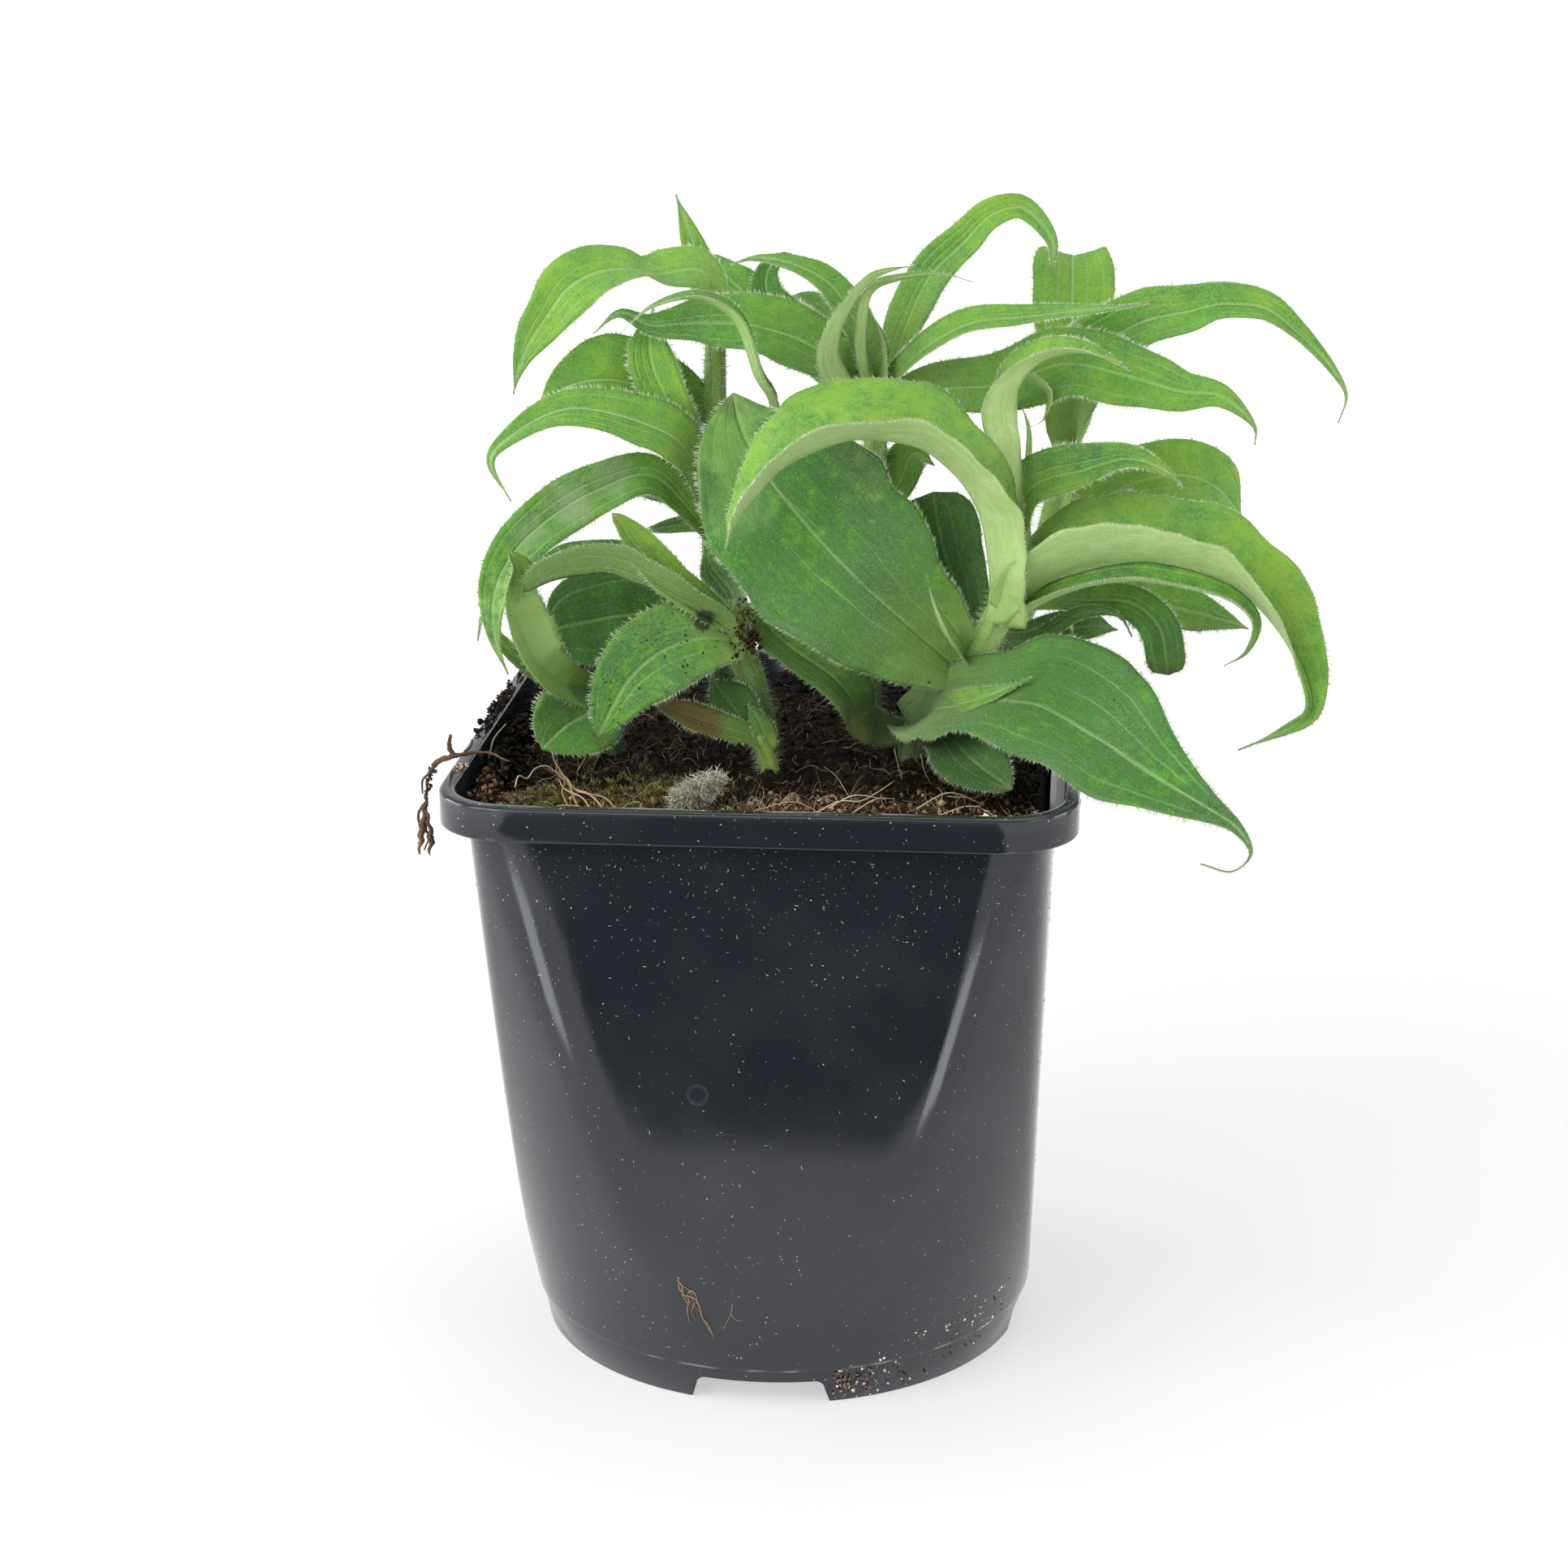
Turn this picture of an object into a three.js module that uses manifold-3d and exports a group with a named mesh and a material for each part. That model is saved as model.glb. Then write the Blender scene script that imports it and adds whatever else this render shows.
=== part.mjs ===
// A young toad lily in a square-round nursery pot. Millimetres, +Z up, front face towards -Y.
// Shapes are set out round the pot's own axis, and the whole is moved at the end so that
// the origin lies under the middle of everything, on the surface that the pot stands on.
import * as THREE from 'three';
import { mergeVertices } from 'three/addons/utils/BufferGeometryUtils.js';
import Module from 'manifold-3d';

const wasm = await Module();
wasm.setup();

// Pot: driving dimensions
const potHeight = 93.4;
const rimHalfWidth = 45;
const rimCorner = 11.3;
const rimBand = 5;
const openingHalfWidth = 42.8;
const openingCorner = 9.4;
const openingDepth = 5;
const openingLean = 0.6;
const shelfDrop = 0.6;
const wallThickness = 0.9;
const stepHeight = 6;
const stepRadius = 38.5;
const footRadius = 37;
const footThickness = 1.6;
const floorRaise = 4;
const floorThickness = 1.2;
const cornerRadiusAtTop = 55.3;
const flatHalfWidthAtTop = 41.5;
const wallShares = [0.25, 0.5, 0.75];
const creaseAtTop = 4;
const creaseAtFoot = 0.3;
const notchWidth = 19;
const notchHeight = 3.8;
const drainHoles = 8;
const drainRadius = 1.8;
const drainRing = 22;
const notchRound = 1.4;
const notchSlope = 1;
const footLean = 0.9;
const edgeRound = 0.4;
const potSides = 40;

// Soil
const clearance = 0.3;
const soilLevel = 88.4;
const soilMound = 0.78;
const soilEdgeDrop = 2;
const soilRings = [0.14, 0.36, 0.58, 0.78, 0.95];
const stemHoleWider = 0.6;
const stemHoleLength = 20;

// Leaves
const bladeThickness = 0.6;
const stationEvery = 6;
const wideBlade = 10;
const usualTaper = 1.5;
const tipHalfWidth = 0.35;
const flatBelow = 1.6;
const channelRound = 1.2;
const rippleHeight = 0.035;
const rippleLength = 16;
const stemSides = 8;
const stemFoot = 80.5;

// Each shoot is one grown piece: a stem and the leaves that clasp it.
// stem: [x, y, z, radius] from the soil upwards. path: the midrib from the stem to the tip.
// width: across the flat blade at its widest, widest: how far along that is, neck: part of the
// width left at the stem, roll: how far the left margin is raised, from base to tip,
// taper: how soon it narrows towards the tip, fold: how far each half is raised, in degrees.
const shoots = {
  shoot_front: {
    color: 0x4c8a3c,
    stem: [[20, 3, 80.5, 2.4], [20.5, 3, 92, 2.5], [27, 2, 101, 2.4], [32, 1, 110, 2.3],
      [35, 3, 119, 1.9], [35, 4.5, 127, 1.5]],
    leaves: [
      { path: [[28, 1, 101], [18, -3, 111], [11, -5, 118], [3, -3, 126], [-3, 0, 133], [-6, 2, 139],
        [-7, 3, 143]],
        width: 28, widest: 0.6, neck: 0.25, taper: 0.9, roll: [-65, -70, -65], fold: 12 },
      { path: [[32, 0, 110], [31, -3, 119], [29, -6, 129], [22, -9, 137], [12, -11, 139], [2, -12, 135],
        [-5, -12, 127], [-7, -12, 122]],
        width: 20, widest: 0.6, neck: 0.65, roll: [-15, -10, -10], fold: 40 },
      { path: [[34, 0, 111], [41, -2, 117], [52, -3, 119], [62, -4, 118], [69, -5, 115],
        [73.5, -6, 110], [77, -7, 104], [77.5, -9, 99.5], [74, -10, 97], [67.5, -12, 94.5]],
        width: 25, widest: 0.3, neck: 0.5, taper: 2, roll: [10, 10, 15, 50, 70], fold: 46 },
      { path: [[31, 1, 107], [39, -4, 114], [49, -7, 118], [58, -9, 118], [66, -10, 116],
        [69, -11, 113], [68, -12, 109], [65, -12, 107]],
        width: 6, widest: 0.6, neck: 0.6, roll: [15, 15, 20], fold: 35 },
      { path: [[18, 1, 94], [27, -8, 99], [38, -17, 102], [47, -23, 99], [55, -26, 94.5],
        [62, -28, 91], [67, -29, 88], [69, -29.5, 84.5], [66.5, -30, 82], [62, -30, 83]],
        width: 25.5, widest: 0.45, neck: 0.35, taper: 3.2, roll: [40, 25, 20, 45, 45], fold: 14 },
      { path: [[35, 3, 119], [35, 3, 127], [35, 3, 136], [34, 2, 142], [36, 0, 147], [41, -2, 150],
        [47, -4, 150], [51, -5, 148]],
        width: 11, widest: 0.45, neck: 0.7, roll: [5, 15, 10], fold: 42 },
      { path: [[34, 3, 120], [37, 5, 129], [44, 3, 132], [51, 2, 134], [57, 1, 132], [59, 0, 130]],
        width: 9, widest: 0.35, neck: 0.55, roll: [60, 60, 45], fold: 30 },
      { path: [[35, 5, 126], [35, 6, 145], [39, 6, 143], [39, 5, 141], [38, 4, 139], [35, 3, 138]],
        width: 3, widest: 0.5, neck: 0.5, roll: [60, 65, 60], fold: 20 },
      { path: [[35, 5, 124], [36, 7, 134], [36, 7, 138], [35, 7, 141]],
        width: 2.5, widest: 0.5, neck: 0.55, roll: [70, 70, 70], fold: 20 },
      { path: [[28, 1, 103], [24, -6, 111], [22, -8, 119]],
        width: 5, widest: 0.35, neck: 0.65, roll: [-55, -50, -50], fold: 20 },
      { path: [[23, -1, 97], [27.5, -8, 99.5], [32, -12, 102], [38, -14, 105.5]],
        width: 4, widest: 0.4, neck: 0.6, roll: [60, 60, 55], fold: 25 },
      { path: [[20, 3, 91.5], [14.5, 1.5, 92.5], [11.5, 0, 94.5], [10.5, -1, 98], [7, -1, 102], [2, 0, 105],
        [-2.5, 1.5, 109], [-3.5, 2.5, 115]],
        width: 8.5, widest: 0.7, neck: 0.35, taper: 1, roll: [-55, -65, -55], fold: 25 },
      { path: [[35, 3, 112], [44, 6, 112], [52, 4, 112], [56, 2, 109], [57, 1, 105], [57.5, 1, 102]],
        width: 6, widest: 0.9, neck: 0.4, taper: 0.4, roll: [50, 60, 70], fold: 20 },
      { path: [[30, 2, 107], [37, 4, 106], [45, 2, 111], [50, 1, 111], [52, 0, 108]],
        width: 3, widest: 0.4, neck: 0.6, roll: [45, 40, 40], fold: 25 },
      { path: [[29, 2, 104], [39, 8, 106], [46, 10, 107], [50, 12, 106]],
        width: 6, widest: 0.7, neck: 0.5, roll: [45, 50, 50], fold: 20 },
      { path: [[28, 3, 101], [26, 7, 112], [23.5, 9, 120], [22, 11, 127]],
        width: 14.5, widest: 0.85, neck: 0.4, taper: 0.5, roll: [-50, -55, -60], fold: 15 },
      { path: [[21, 2, 93], [26, -8, 94], [29, -19, 94.5], [33, -27, 94], [35.5, -31, 93.5]],
        width: 10, widest: 0.7, neck: 0.35, taper: 0.8, roll: [40, 40, 40], fold: 20 },
      { path: [[43, 8, 105], [43, 6, 107], [41, 6, 110]],
        width: 3, widest: 0.4, neck: 0.45, roll: [-40, -45, -40], fold: 20 },
    ],
  },
  shoot_left: {
    color: 0x569a45,
    stem: [[-2, -2, 80.5, 1.9], [-2, -2, 91, 2], [-4, -3, 101, 2.2], [-6, -4, 109, 2.2],
      [-5, -4, 113, 1.6]],
    leaves: [
      { path: [[-6, -4, 109], [-12.5, -8, 114.5], [-17, -10, 119], [-21, -11, 124.5], [-23, -12, 128]],
        width: 7, widest: 0.6, neck: 0.45, taper: 0.7, roll: [-55, -65, -60], fold: 30 },
      { path: [[-6, -5, 109], [-13, -10, 114], [-19, -12, 117.5], [-25, -13, 119.5], [-31, -14, 118.5],
        [-36, -14, 116.5]],
        width: 11.5, widest: 0.7, neck: 0.4, taper: 0.7, roll: [-5, 0, 5], fold: 55 },
      { path: [[-5, -4, 107], [-11, -10, 109], [-16, -14, 108], [-20, -17, 105], [-22.5, -18, 101],
        [-25, -18, 96]],
        width: 12.5, widest: 0.5, neck: 0.4, taper: 1, roll: [-55, -60, -65, -55], fold: 12 },
      { path: [[-6, -3, 108], [-16, 1, 110], [-24, -1, 110], [-31, -3, 109], [-34.5, -4, 108]],
        width: 15, widest: 0.75, neck: 0.3, taper: 0.7, roll: [-60, -65, -65], fold: 15 },
      { path: [[-5, -3, 108], [-8, 5, 113], [-11, 7, 116], [-12, 7, 119]],
        width: 6.5, widest: 0.65, neck: 0.4, roll: [-60, -55, -60], fold: 20 },
    ],
  },
  shoot_back_left: {
    color: 0x5da03c,
    stem: [[-10, 12, 80.5, 2], [-10, 12, 92, 2.1], [-11, 12, 121, 2.1], [-11, 12.5, 135, 2],
      [-11, 16, 150, 1.5]],
    leaves: [
      { path: [[-11, 16, 149], [-13, 14.5, 159], [-19, 11, 159], [-25, 9, 160], [-31, 7, 158],
        [-35.5, 6, 152.5], [-38.5, 5, 147.5], [-40, 5, 142]],
        width: 9, widest: 0.6, neck: 0.5, roll: [-65, -60, -5, -55, -65, -60], fold: 15 },
      { path: [[-11, 16, 149], [-13, 17.5, 158], [-15, 18, 164], [-17, 18, 170]],
        width: 4.5, widest: 0.5, neck: 0.55, roll: [-60, -60, -60], fold: 20 },
      { path: [[-10, 12, 126], [-2, 7.5, 140], [-4, 5.5, 145], [-7, 2.5, 154], [-12, 1, 157],
        [-18, 0, 156], [-21, 0, 154], [-23, 0, 152]],
        width: 4, widest: 0.6, neck: 0.45, roll: [-20, -20, -20], fold: 45 },
      { path: [[-11, 11, 126], [-17, 8, 140], [-20, 9, 147], [-20, 13, 154]],
        width: 7.5, widest: 0.7, neck: 0.35, roll: [-60, -65, -60], fold: 20 },
      { path: [[-11, 13, 131], [-17, 12, 139], [-25, 9, 143.5], [-32, 7, 143], [-37, 6, 139.5]],
        width: 13.5, widest: 0.6, neck: 0.5, roll: [-65, -70, -60], fold: 15 },
      { path: [[-11, 11, 122], [-15, 4, 135], [-23, 1, 139.5], [-31, -1, 141], [-38, -3, 138],
        [-42, -4, 134], [-39, -5, 128]],
        width: 8.5, widest: 0.3, neck: 0.55, roll: [-60, -60, -60], fold: 15 },
      { path: [[-11, 11, 119], [-20, 5, 130], [-27, 2, 128.5], [-34, 0, 124.5], [-39, -2, 120],
        [-42, -4, 114], [-42, -5, 107], [-40, -6, 102]],
        width: 8.5, widest: 0.55, neck: 0.35, roll: [-65, -65, -55], fold: 20 },
      { path: [[-11, 12, 125], [-17, 12, 127], [-23, 11, 127], [-26, 11, 126]],
        width: 7, widest: 0.45, neck: 0.5, roll: [-55, -55, -50], fold: 20 },
      { path: [[-11, 12, 121], [-16, 12, 121], [-23, 12, 120]],
        width: 3, widest: 0.4, neck: 0.5, roll: [-50, -50, -50], fold: 25 },
    ],
  },
  shoot_middle: {
    color: 0x5c9a41,
    stem: [[12, 16, 80.5, 2], [12, 16, 92, 2.1], [12, 16, 112, 2], [13, 15, 130, 1.9],
      [13, 14.5, 143, 1.6]],
    leaves: [
      { path: [[13, 14, 141], [4, 13, 148], [-3, 12, 151], [-12, 10.5, 152], [-20, 7, 152],
        [-24, 6, 154], [-28, 6, 151]],
        width: 10.5, widest: 0.35, neck: 0.4, roll: [-55, -60, -45], fold: 15 },
      { path: [[13, 15, 142], [10, 16, 151], [6, 16, 157], [1, 15, 160], [-5, 15, 161], [-9, 14, 160]],
        width: 6, widest: 0.3, neck: 0.65, roll: [-55, -50, -40], fold: 20 },
      { path: [[13, 14, 138], [8, 6, 149], [10, 5, 155], [14, 4, 160], [20, 3, 162]],
        width: 9, widest: 0.35, neck: 0.4, roll: [55, 55, 50], fold: 30 },
      { path: [[13, 14, 140], [12, 10, 150], [13, 9, 157], [17, 8, 159], [23, 7, 160], [28, 6, 159]],
        width: 4, widest: 0.3, neck: 0.6, roll: [20, 20, 20], fold: 45 },
      { path: [[14, 15, 139], [18, 18, 152], [21, 19, 158], [26, 20, 163], [30, 20, 167], [34, 20, 168],
        [37, 19, 166], [39, 18, 163], [39, 17, 159]],
        width: 7, widest: 0.35, neck: 0.45, taper: 1, roll: [60, 70, 55], fold: 25 },
      { path: [[14, 14, 140], [14, 11, 150], [12, 11, 155]],
        width: 5, widest: 0.4, neck: 0.5, roll: [-55, -55, -50], fold: 20 },
      { path: [[13, 14, 140], [21, 8, 149], [28, 6, 153], [35, 5, 154], [42, 4, 155], [49, 3, 156],
        [54, 2, 157]],
        width: 5, widest: 0.4, neck: 0.6, roll: [50, 50, 40], fold: 30 },
      { path: [[13, 14, 138], [22, 12, 142], [32, 12, 143], [41, 10, 146.5], [50, 7, 145.5],
        [58, 5, 143.5], [64, 4, 143], [69, 4, 138.5], [69, 4, 136]],
        width: 11, widest: 0.5, neck: 0.5, roll: [60, 60, 50], fold: 12 },
      { path: [[12, 16, 139], [1, 24, 150], [-4, 25, 154], [-4, 26, 158], [-1, 26, 160], [1, 26, 159]],
        width: 5.5, widest: 0.65, neck: 0.5, roll: [-55, -55, -55], fold: 20 },
      { path: [[12, 16, 138], [-3, 28, 150], [-10, 31, 155], [-14, 33, 158], [-17, 35, 157]],
        width: 7, widest: 0.7, neck: 0.35, roll: [-60, -60, -60], fold: 12 },
      { path: [[12, 17, 139], [5, 28, 150], [1, 31, 152], [-3, 34, 152]],
        width: 5, widest: 0.7, neck: 0.5, roll: [-60, -60, -60], fold: 12 },
      { path: [[13, 15, 121], [17, 14, 128], [19, 15, 132], [22, 16, 130]],
        width: 7.5, widest: 0.65, neck: 0.45, roll: [45, 50, 50], fold: 15 },
    ],
  },
  shoot_right: {
    color: 0x6aa848,
    stem: [[28, 18, 80.5, 1.9], [28, 18, 91, 2], [32, 18, 100, 2], [37, 19, 111, 2], [40, 19, 122, 2],
      [42, 18.5, 133, 1.8]],
    leaves: [
      { path: [[42, 18, 131], [43, 18, 139], [45, 17, 146.5], [52, 14, 152], [58, 11, 154],
        [64, 10, 155.5], [70, 9, 155], [75, 8, 151.5], [80, 7, 146.5], [82, 6, 143], [81, 6, 139]],
        width: 10.5, widest: 0.2, neck: 0.6, roll: [70, 75, 60, 40, 40], fold: 25 },
      { path: [[42, 19, 131], [42, 26, 146], [42, 29, 154], [42, 34, 159], [43, 41, 156]],
        width: 13, widest: 0.7, neck: 0.25, roll: [0, 0, 0], fold: 15 },
      { path: [[39, 19, 118], [49, 22, 125], [57, 23, 127.5], [63.5, 25, 126], [69, 28, 119.5]],
        width: 11.5, widest: 0.7, neck: 0.3, roll: [50, 60, 55], fold: 15 },
      { path: [[37, 19, 110], [53, 19, 109], [61, 20, 107], [68, 21, 105], [70, 22, 104]],
        width: 6.5, widest: 0.7, neck: 0.3, roll: [50, 55, 55], fold: 15 },
    ],
  },
  shoot_low_left: {
    color: 0x62a247,
    stem: [[-26, 3, 80.5, 1.5], [-26, 3, 91, 1.5], [-26, 2, 95, 1.4]],
    leaves: [
      { path: [[-26, 2, 95], [-30.5, -6, 100], [-34.5, -10, 104.5], [-37, -11, 110], [-38, -12, 115.5],
        [-37.5, -11, 119], [-38.5, -11, 122]],
        width: 9.5, widest: 0.75, neck: 0.4, taper: 0.8, roll: [-55, -75, -70], fold: 30 },
      { path: [[-26, 3, 95], [-27.5, -6, 96.5], [-31, -12, 95.5], [-33.5, -16, 93.5]],
        width: 12, widest: 0.7, neck: 0.45, taper: 0.7, roll: [-50, -45, -40], fold: 12 },
      { path: [[-26, 3, 93], [-38, 4, 100], [-43, 3, 105], [-45, 2, 109], [-46, 2, 105]],
        width: 3, widest: 0.5, neck: 0.5, roll: [-50, -50, -50], fold: 20 },
    ],
  },
  shoot_low_front: {
    color: 0x6d8c3a,
    stem: [[-1, -8, 80.5, 1.5], [-1, -8, 89.5, 1.5], [-3, -8, 94, 1.2]],
    leaves: [
      { path: [[-2, -8, 93.5], [-7, -12, 96], [-12, -13, 98], [-17.5, -14, 100.5]],
        width: 5, widest: 0.6, neck: 0.6, taper: 1.1, roll: [-45, -45, -45], fold: 15 },
      { path: [[-3, -8, 94], [-6, -8, 98], [-9.5, -7, 102]],
        width: 7, widest: 0.5, neck: 0.45, taper: 1, roll: [-55, -55, -50], fold: 15 },
      { path: [[-1, -8, 91], [-2, -8, 95], [-4, -8, 99]],
        width: 4, widest: 0.4, neck: 0.6, roll: [-55, -55, -55], fold: 15 },
    ],
  },
};

// A dry root over the left of the rim, and a woolly husk on the soil in front.
const strandPath = [[-38, -18, 92.2], [-41, -20, 94], [-44.5, -22.5, 94.3], [-48.2, -21, 92.6],
  [-50.1, -18.5, 88.6], [-50.8, -18, 84], [-52, -18, 77.5]];
const strandRadii = [0.27, 0.45, 0.45, 0.45, 0.36, 0.22];
const forkPath = [[-50.7, -18, 85], [-49.9, -18.6, 80.5], [-50.2, -19, 77.8]];
const forkRadii = [0.36, 0.22];
const huskCentre = [-9, -30, 92];
const huskRadii = [5.5, 2.8, 2];
const huskBumps = 0.12;
const huskTilt = -28;

const wallTop = potHeight - rimBand;
const wallLevels = wallShares.map((share) => THREE.MathUtils.lerp(stepHeight, wallTop, share));

const toVectors = (points) => points.map(([x, y, z]) => new THREE.Vector3(x, y, z));

// Blends the smaller of two values into the other with a soft crease.
function softMin(a, b, blend) {
  const h = Math.max(blend - Math.abs(a - b), 0) / blend;
  return Math.min(a, b) - h * h * blend / 4;
}

// Straight sides and quarter-circle corners, as points at even angles.
function roundedSquare(halfWidth, corner, z, sides) {
  const flat = halfWidth - corner;
  return Array.from({ length: sides }, (_, i) => {
    const angle = (i + 0.5) / sides * 2 * Math.PI;
    const c = Math.cos(angle);
    const s = Math.sin(angle);
    const straight = halfWidth / Math.max(Math.abs(c), Math.abs(s));
    const along = flat * (Math.abs(c) + Math.abs(s));
    const inside = along * along - 2 * flat * flat + corner * corner;
    const onCorner = Math.min(Math.abs(c), Math.abs(s)) * straight > flat;
    const r = onCorner ? along + Math.sqrt(inside) : straight;
    return new THREE.Vector3(r * c, r * s, z);
  });
}

// The wall runs from a circle at the step to a square with wide round corners under the rim.
function wallLoop(z, inset, sides) {
  const t = (z - stepHeight) / (wallTop - stepHeight);
  const round = THREE.MathUtils.lerp(stepRadius, cornerRadiusAtTop, t);
  const flat = THREE.MathUtils.lerp(stepRadius, flatHalfWidthAtTop, t);
  const blend = THREE.MathUtils.lerp(creaseAtFoot, creaseAtTop, t);
  return Array.from({ length: sides }, (_, i) => {
    const angle = (i + 0.5) / sides * 2 * Math.PI;
    const c = Math.cos(angle);
    const s = Math.sin(angle);
    const r = softMin(round, flat / Math.max(Math.abs(c), Math.abs(s)), blend) - inset;
    return new THREE.Vector3(r * c, r * s, z);
  });
}

function circleLoop(radius, z, sides) {
  return Array.from({ length: sides }, (_, i) => {
    const angle = (i + 0.5) / sides * 2 * Math.PI;
    return new THREE.Vector3(radius * Math.cos(angle), radius * Math.sin(angle), z);
  });
}

function toGeometry(points, triangles) {
  const geometry = new THREE.BufferGeometry().setFromPoints(points);
  let volume = 0;
  for (const [a, b, c] of triangles) {
    volume += points[a].dot(points[b].clone().cross(points[c]));
  }
  const outward = volume > 0 ? triangles : triangles.map(([a, b, c]) => [a, c, b]);
  geometry.setIndex(outward.flat());
  return geometry;
}

// A closed skin through loops of points, with a fan over each end.
function loft(loops) {
  const count = loops[0].length;
  const middle = (loop) => loop.reduce((sum, p) => sum.add(p), new THREE.Vector3()).divideScalar(count);
  const points = [...loops.flat(), middle(loops[0]), middle(loops.at(-1))];
  const triangles = [];
  const first = points.length - 2;
  const lastLoop = (loops.length - 1) * count;
  for (let j = 0; j < count; j += 1) {
    const k = (j + 1) % count;
    triangles.push([first, k, j], [first + 1, lastLoop + j, lastLoop + k]);
    for (let i = 0; i + 1 < loops.length; i += 1) {
      const a = i * count;
      const b = a + count;
      triangles.push([a + j, a + k, b + k], [a + j, b + k, b + j]);
    }
  }
  return toGeometry(points, triangles);
}

// A thin solid between two grids of points that are split into triangles alike.
function slab(top, bottom) {
  const rows = top.length;
  const columns = top[0].length;
  const points = [...top.flat(), ...bottom.flat()];
  const under = rows * columns;
  const at = (i, j) => i * columns + j;
  const triangles = [];
  for (let i = 0; i + 1 < rows; i += 1) {
    for (let j = 0; j + 1 < columns; j += 1) {
      const [a, b, c, d] = [at(i, j), at(i + 1, j), at(i + 1, j + 1), at(i, j + 1)];
      triangles.push([a, b, c], [a, c, d]);
      triangles.push([under + a, under + c, under + b], [under + a, under + d, under + c]);
    }
  }
  const border = [];
  for (let i = 0; i + 1 < rows; i += 1) border.push(at(i, 0));
  for (let j = 0; j + 1 < columns; j += 1) border.push(at(rows - 1, j));
  for (let i = rows - 1; i > 0; i -= 1) border.push(at(i, columns - 1));
  for (let j = columns - 1; j > 0; j -= 1) border.push(at(0, j));
  border.forEach((a, n) => {
    const b = border[(n + 1) % border.length];
    triangles.push([a, under + b, b], [a, under + a, under + b]);
  });
  return toGeometry(points, triangles);
}

// Points along a curve with a crosswise direction carried along it without spinning.
function carryFrames(curve, steps) {
  const total = curve.getPointAt(1).sub(curve.getPointAt(0)).setZ(0);
  const across = new THREE.Vector3(0, 0, 1).cross(total);
  return Array.from({ length: steps + 1 }, (_, i) => {
    const t = i / steps;
    const tangent = curve.getTangentAt(t);
    across.addScaledVector(tangent, -across.dot(tangent)).normalize();
    return { t, point: curve.getPointAt(t), tangent, across: across.clone() };
  });
}

function valueAlong(values, t) {
  const at = t * (values.length - 1);
  const i = Math.min(Math.floor(at), values.length - 2);
  return THREE.MathUtils.lerp(values[i], values[i + 1], at - i);
}

// Share of the full width at t: a clasping neck, a full middle and a long drawn-out tip.
function outline(t, widest, neck, taper) {
  if (t < widest) return neck + (1 - neck) * Math.sin(Math.PI / 2 * t / widest);
  const u = (t - widest) / (1 - widest);
  return (1 - u) ** taper * (1 + taper * u);
}

function makeLeaf({ path, width, widest, neck, taper = usualTaper, roll, fold }, index) {
  const curve = new THREE.CatmullRomCurve3(toVectors(path), false, 'centripetal');
  const length = curve.getLength();
  const steps = Math.max(5, Math.round(length / stationEvery));
  const columns = width > wideBlade ? [-1, -0.5, 0, 0.5, 1] : [-1, 0, 1];
  const top = [];
  const bottom = [];
  for (const { t, point, tangent, across } of carryFrames(curve, steps)) {
    const side = across.clone().applyAxisAngle(tangent, THREE.MathUtils.degToRad(valueAlong(roll, t)));
    const up = tangent.clone().cross(side);
    const half = Math.max(tipHalfWidth, width / 2 * outline(t, widest, neck, taper));
    const lift = THREE.MathUtils.degToRad(fold) * Math.min(1, half / flatBelow);
    const ripple = rippleHeight * half * Math.sin(2 * Math.PI * t * length / rippleLength + index);
    const rowTop = [];
    const rowBottom = [];
    for (const v of columns) {
      const raise = Math.abs(v) ** channelRound * half * Math.sin(lift) + v * v * ripple;
      const surface = point.clone().addScaledVector(side, v * half * Math.cos(lift));
      surface.addScaledVector(up, raise);
      const face = up.clone().multiplyScalar(Math.cos(lift * v));
      face.addScaledVector(side, -Math.sin(lift * v));
      rowTop.push(surface.clone().addScaledVector(face, bladeThickness / 2));
      rowBottom.push(surface.clone().addScaledVector(face, -bladeThickness / 2));
    }
    top.push(rowTop);
    bottom.push(rowBottom);
  }
  return slab(top, bottom);
}

function makeTube(points, radii, every, sides) {
  const curve = new THREE.CatmullRomCurve3(toVectors(points), false, 'centripetal');
  const steps = Math.max(3, Math.round(curve.getLength() / every));
  const loops = carryFrames(curve, steps).map(({ t, point, tangent, across }) => {
    const radius = valueAlong(radii, t);
    return Array.from({ length: sides }, (_, i) => across.clone()
      .applyAxisAngle(tangent, i / sides * 2 * Math.PI).multiplyScalar(radius).add(point));
  });
  return loft(loops);
}

function toSolid(geometry) {
  const bare = geometry.clone();
  bare.deleteAttribute('normal');
  bare.deleteAttribute('uv');
  const merged = mergeVertices(bare, 1e-5);
  return new wasm.Manifold(new wasm.Mesh({
    numProp: 3,
    vertProperties: new Float32Array(merged.attributes.position.array),
    triVerts: new Uint32Array(merged.index.array),
  }));
}

function fromSolid(solid) {
  const mesh = solid.getMesh();
  const geometry = new THREE.BufferGeometry();
  geometry.setAttribute('position', new THREE.BufferAttribute(new Float32Array(mesh.vertProperties), 3));
  geometry.setIndex(new THREE.BufferAttribute(new Uint32Array(mesh.triVerts), 1));
  return geometry;
}

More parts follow.
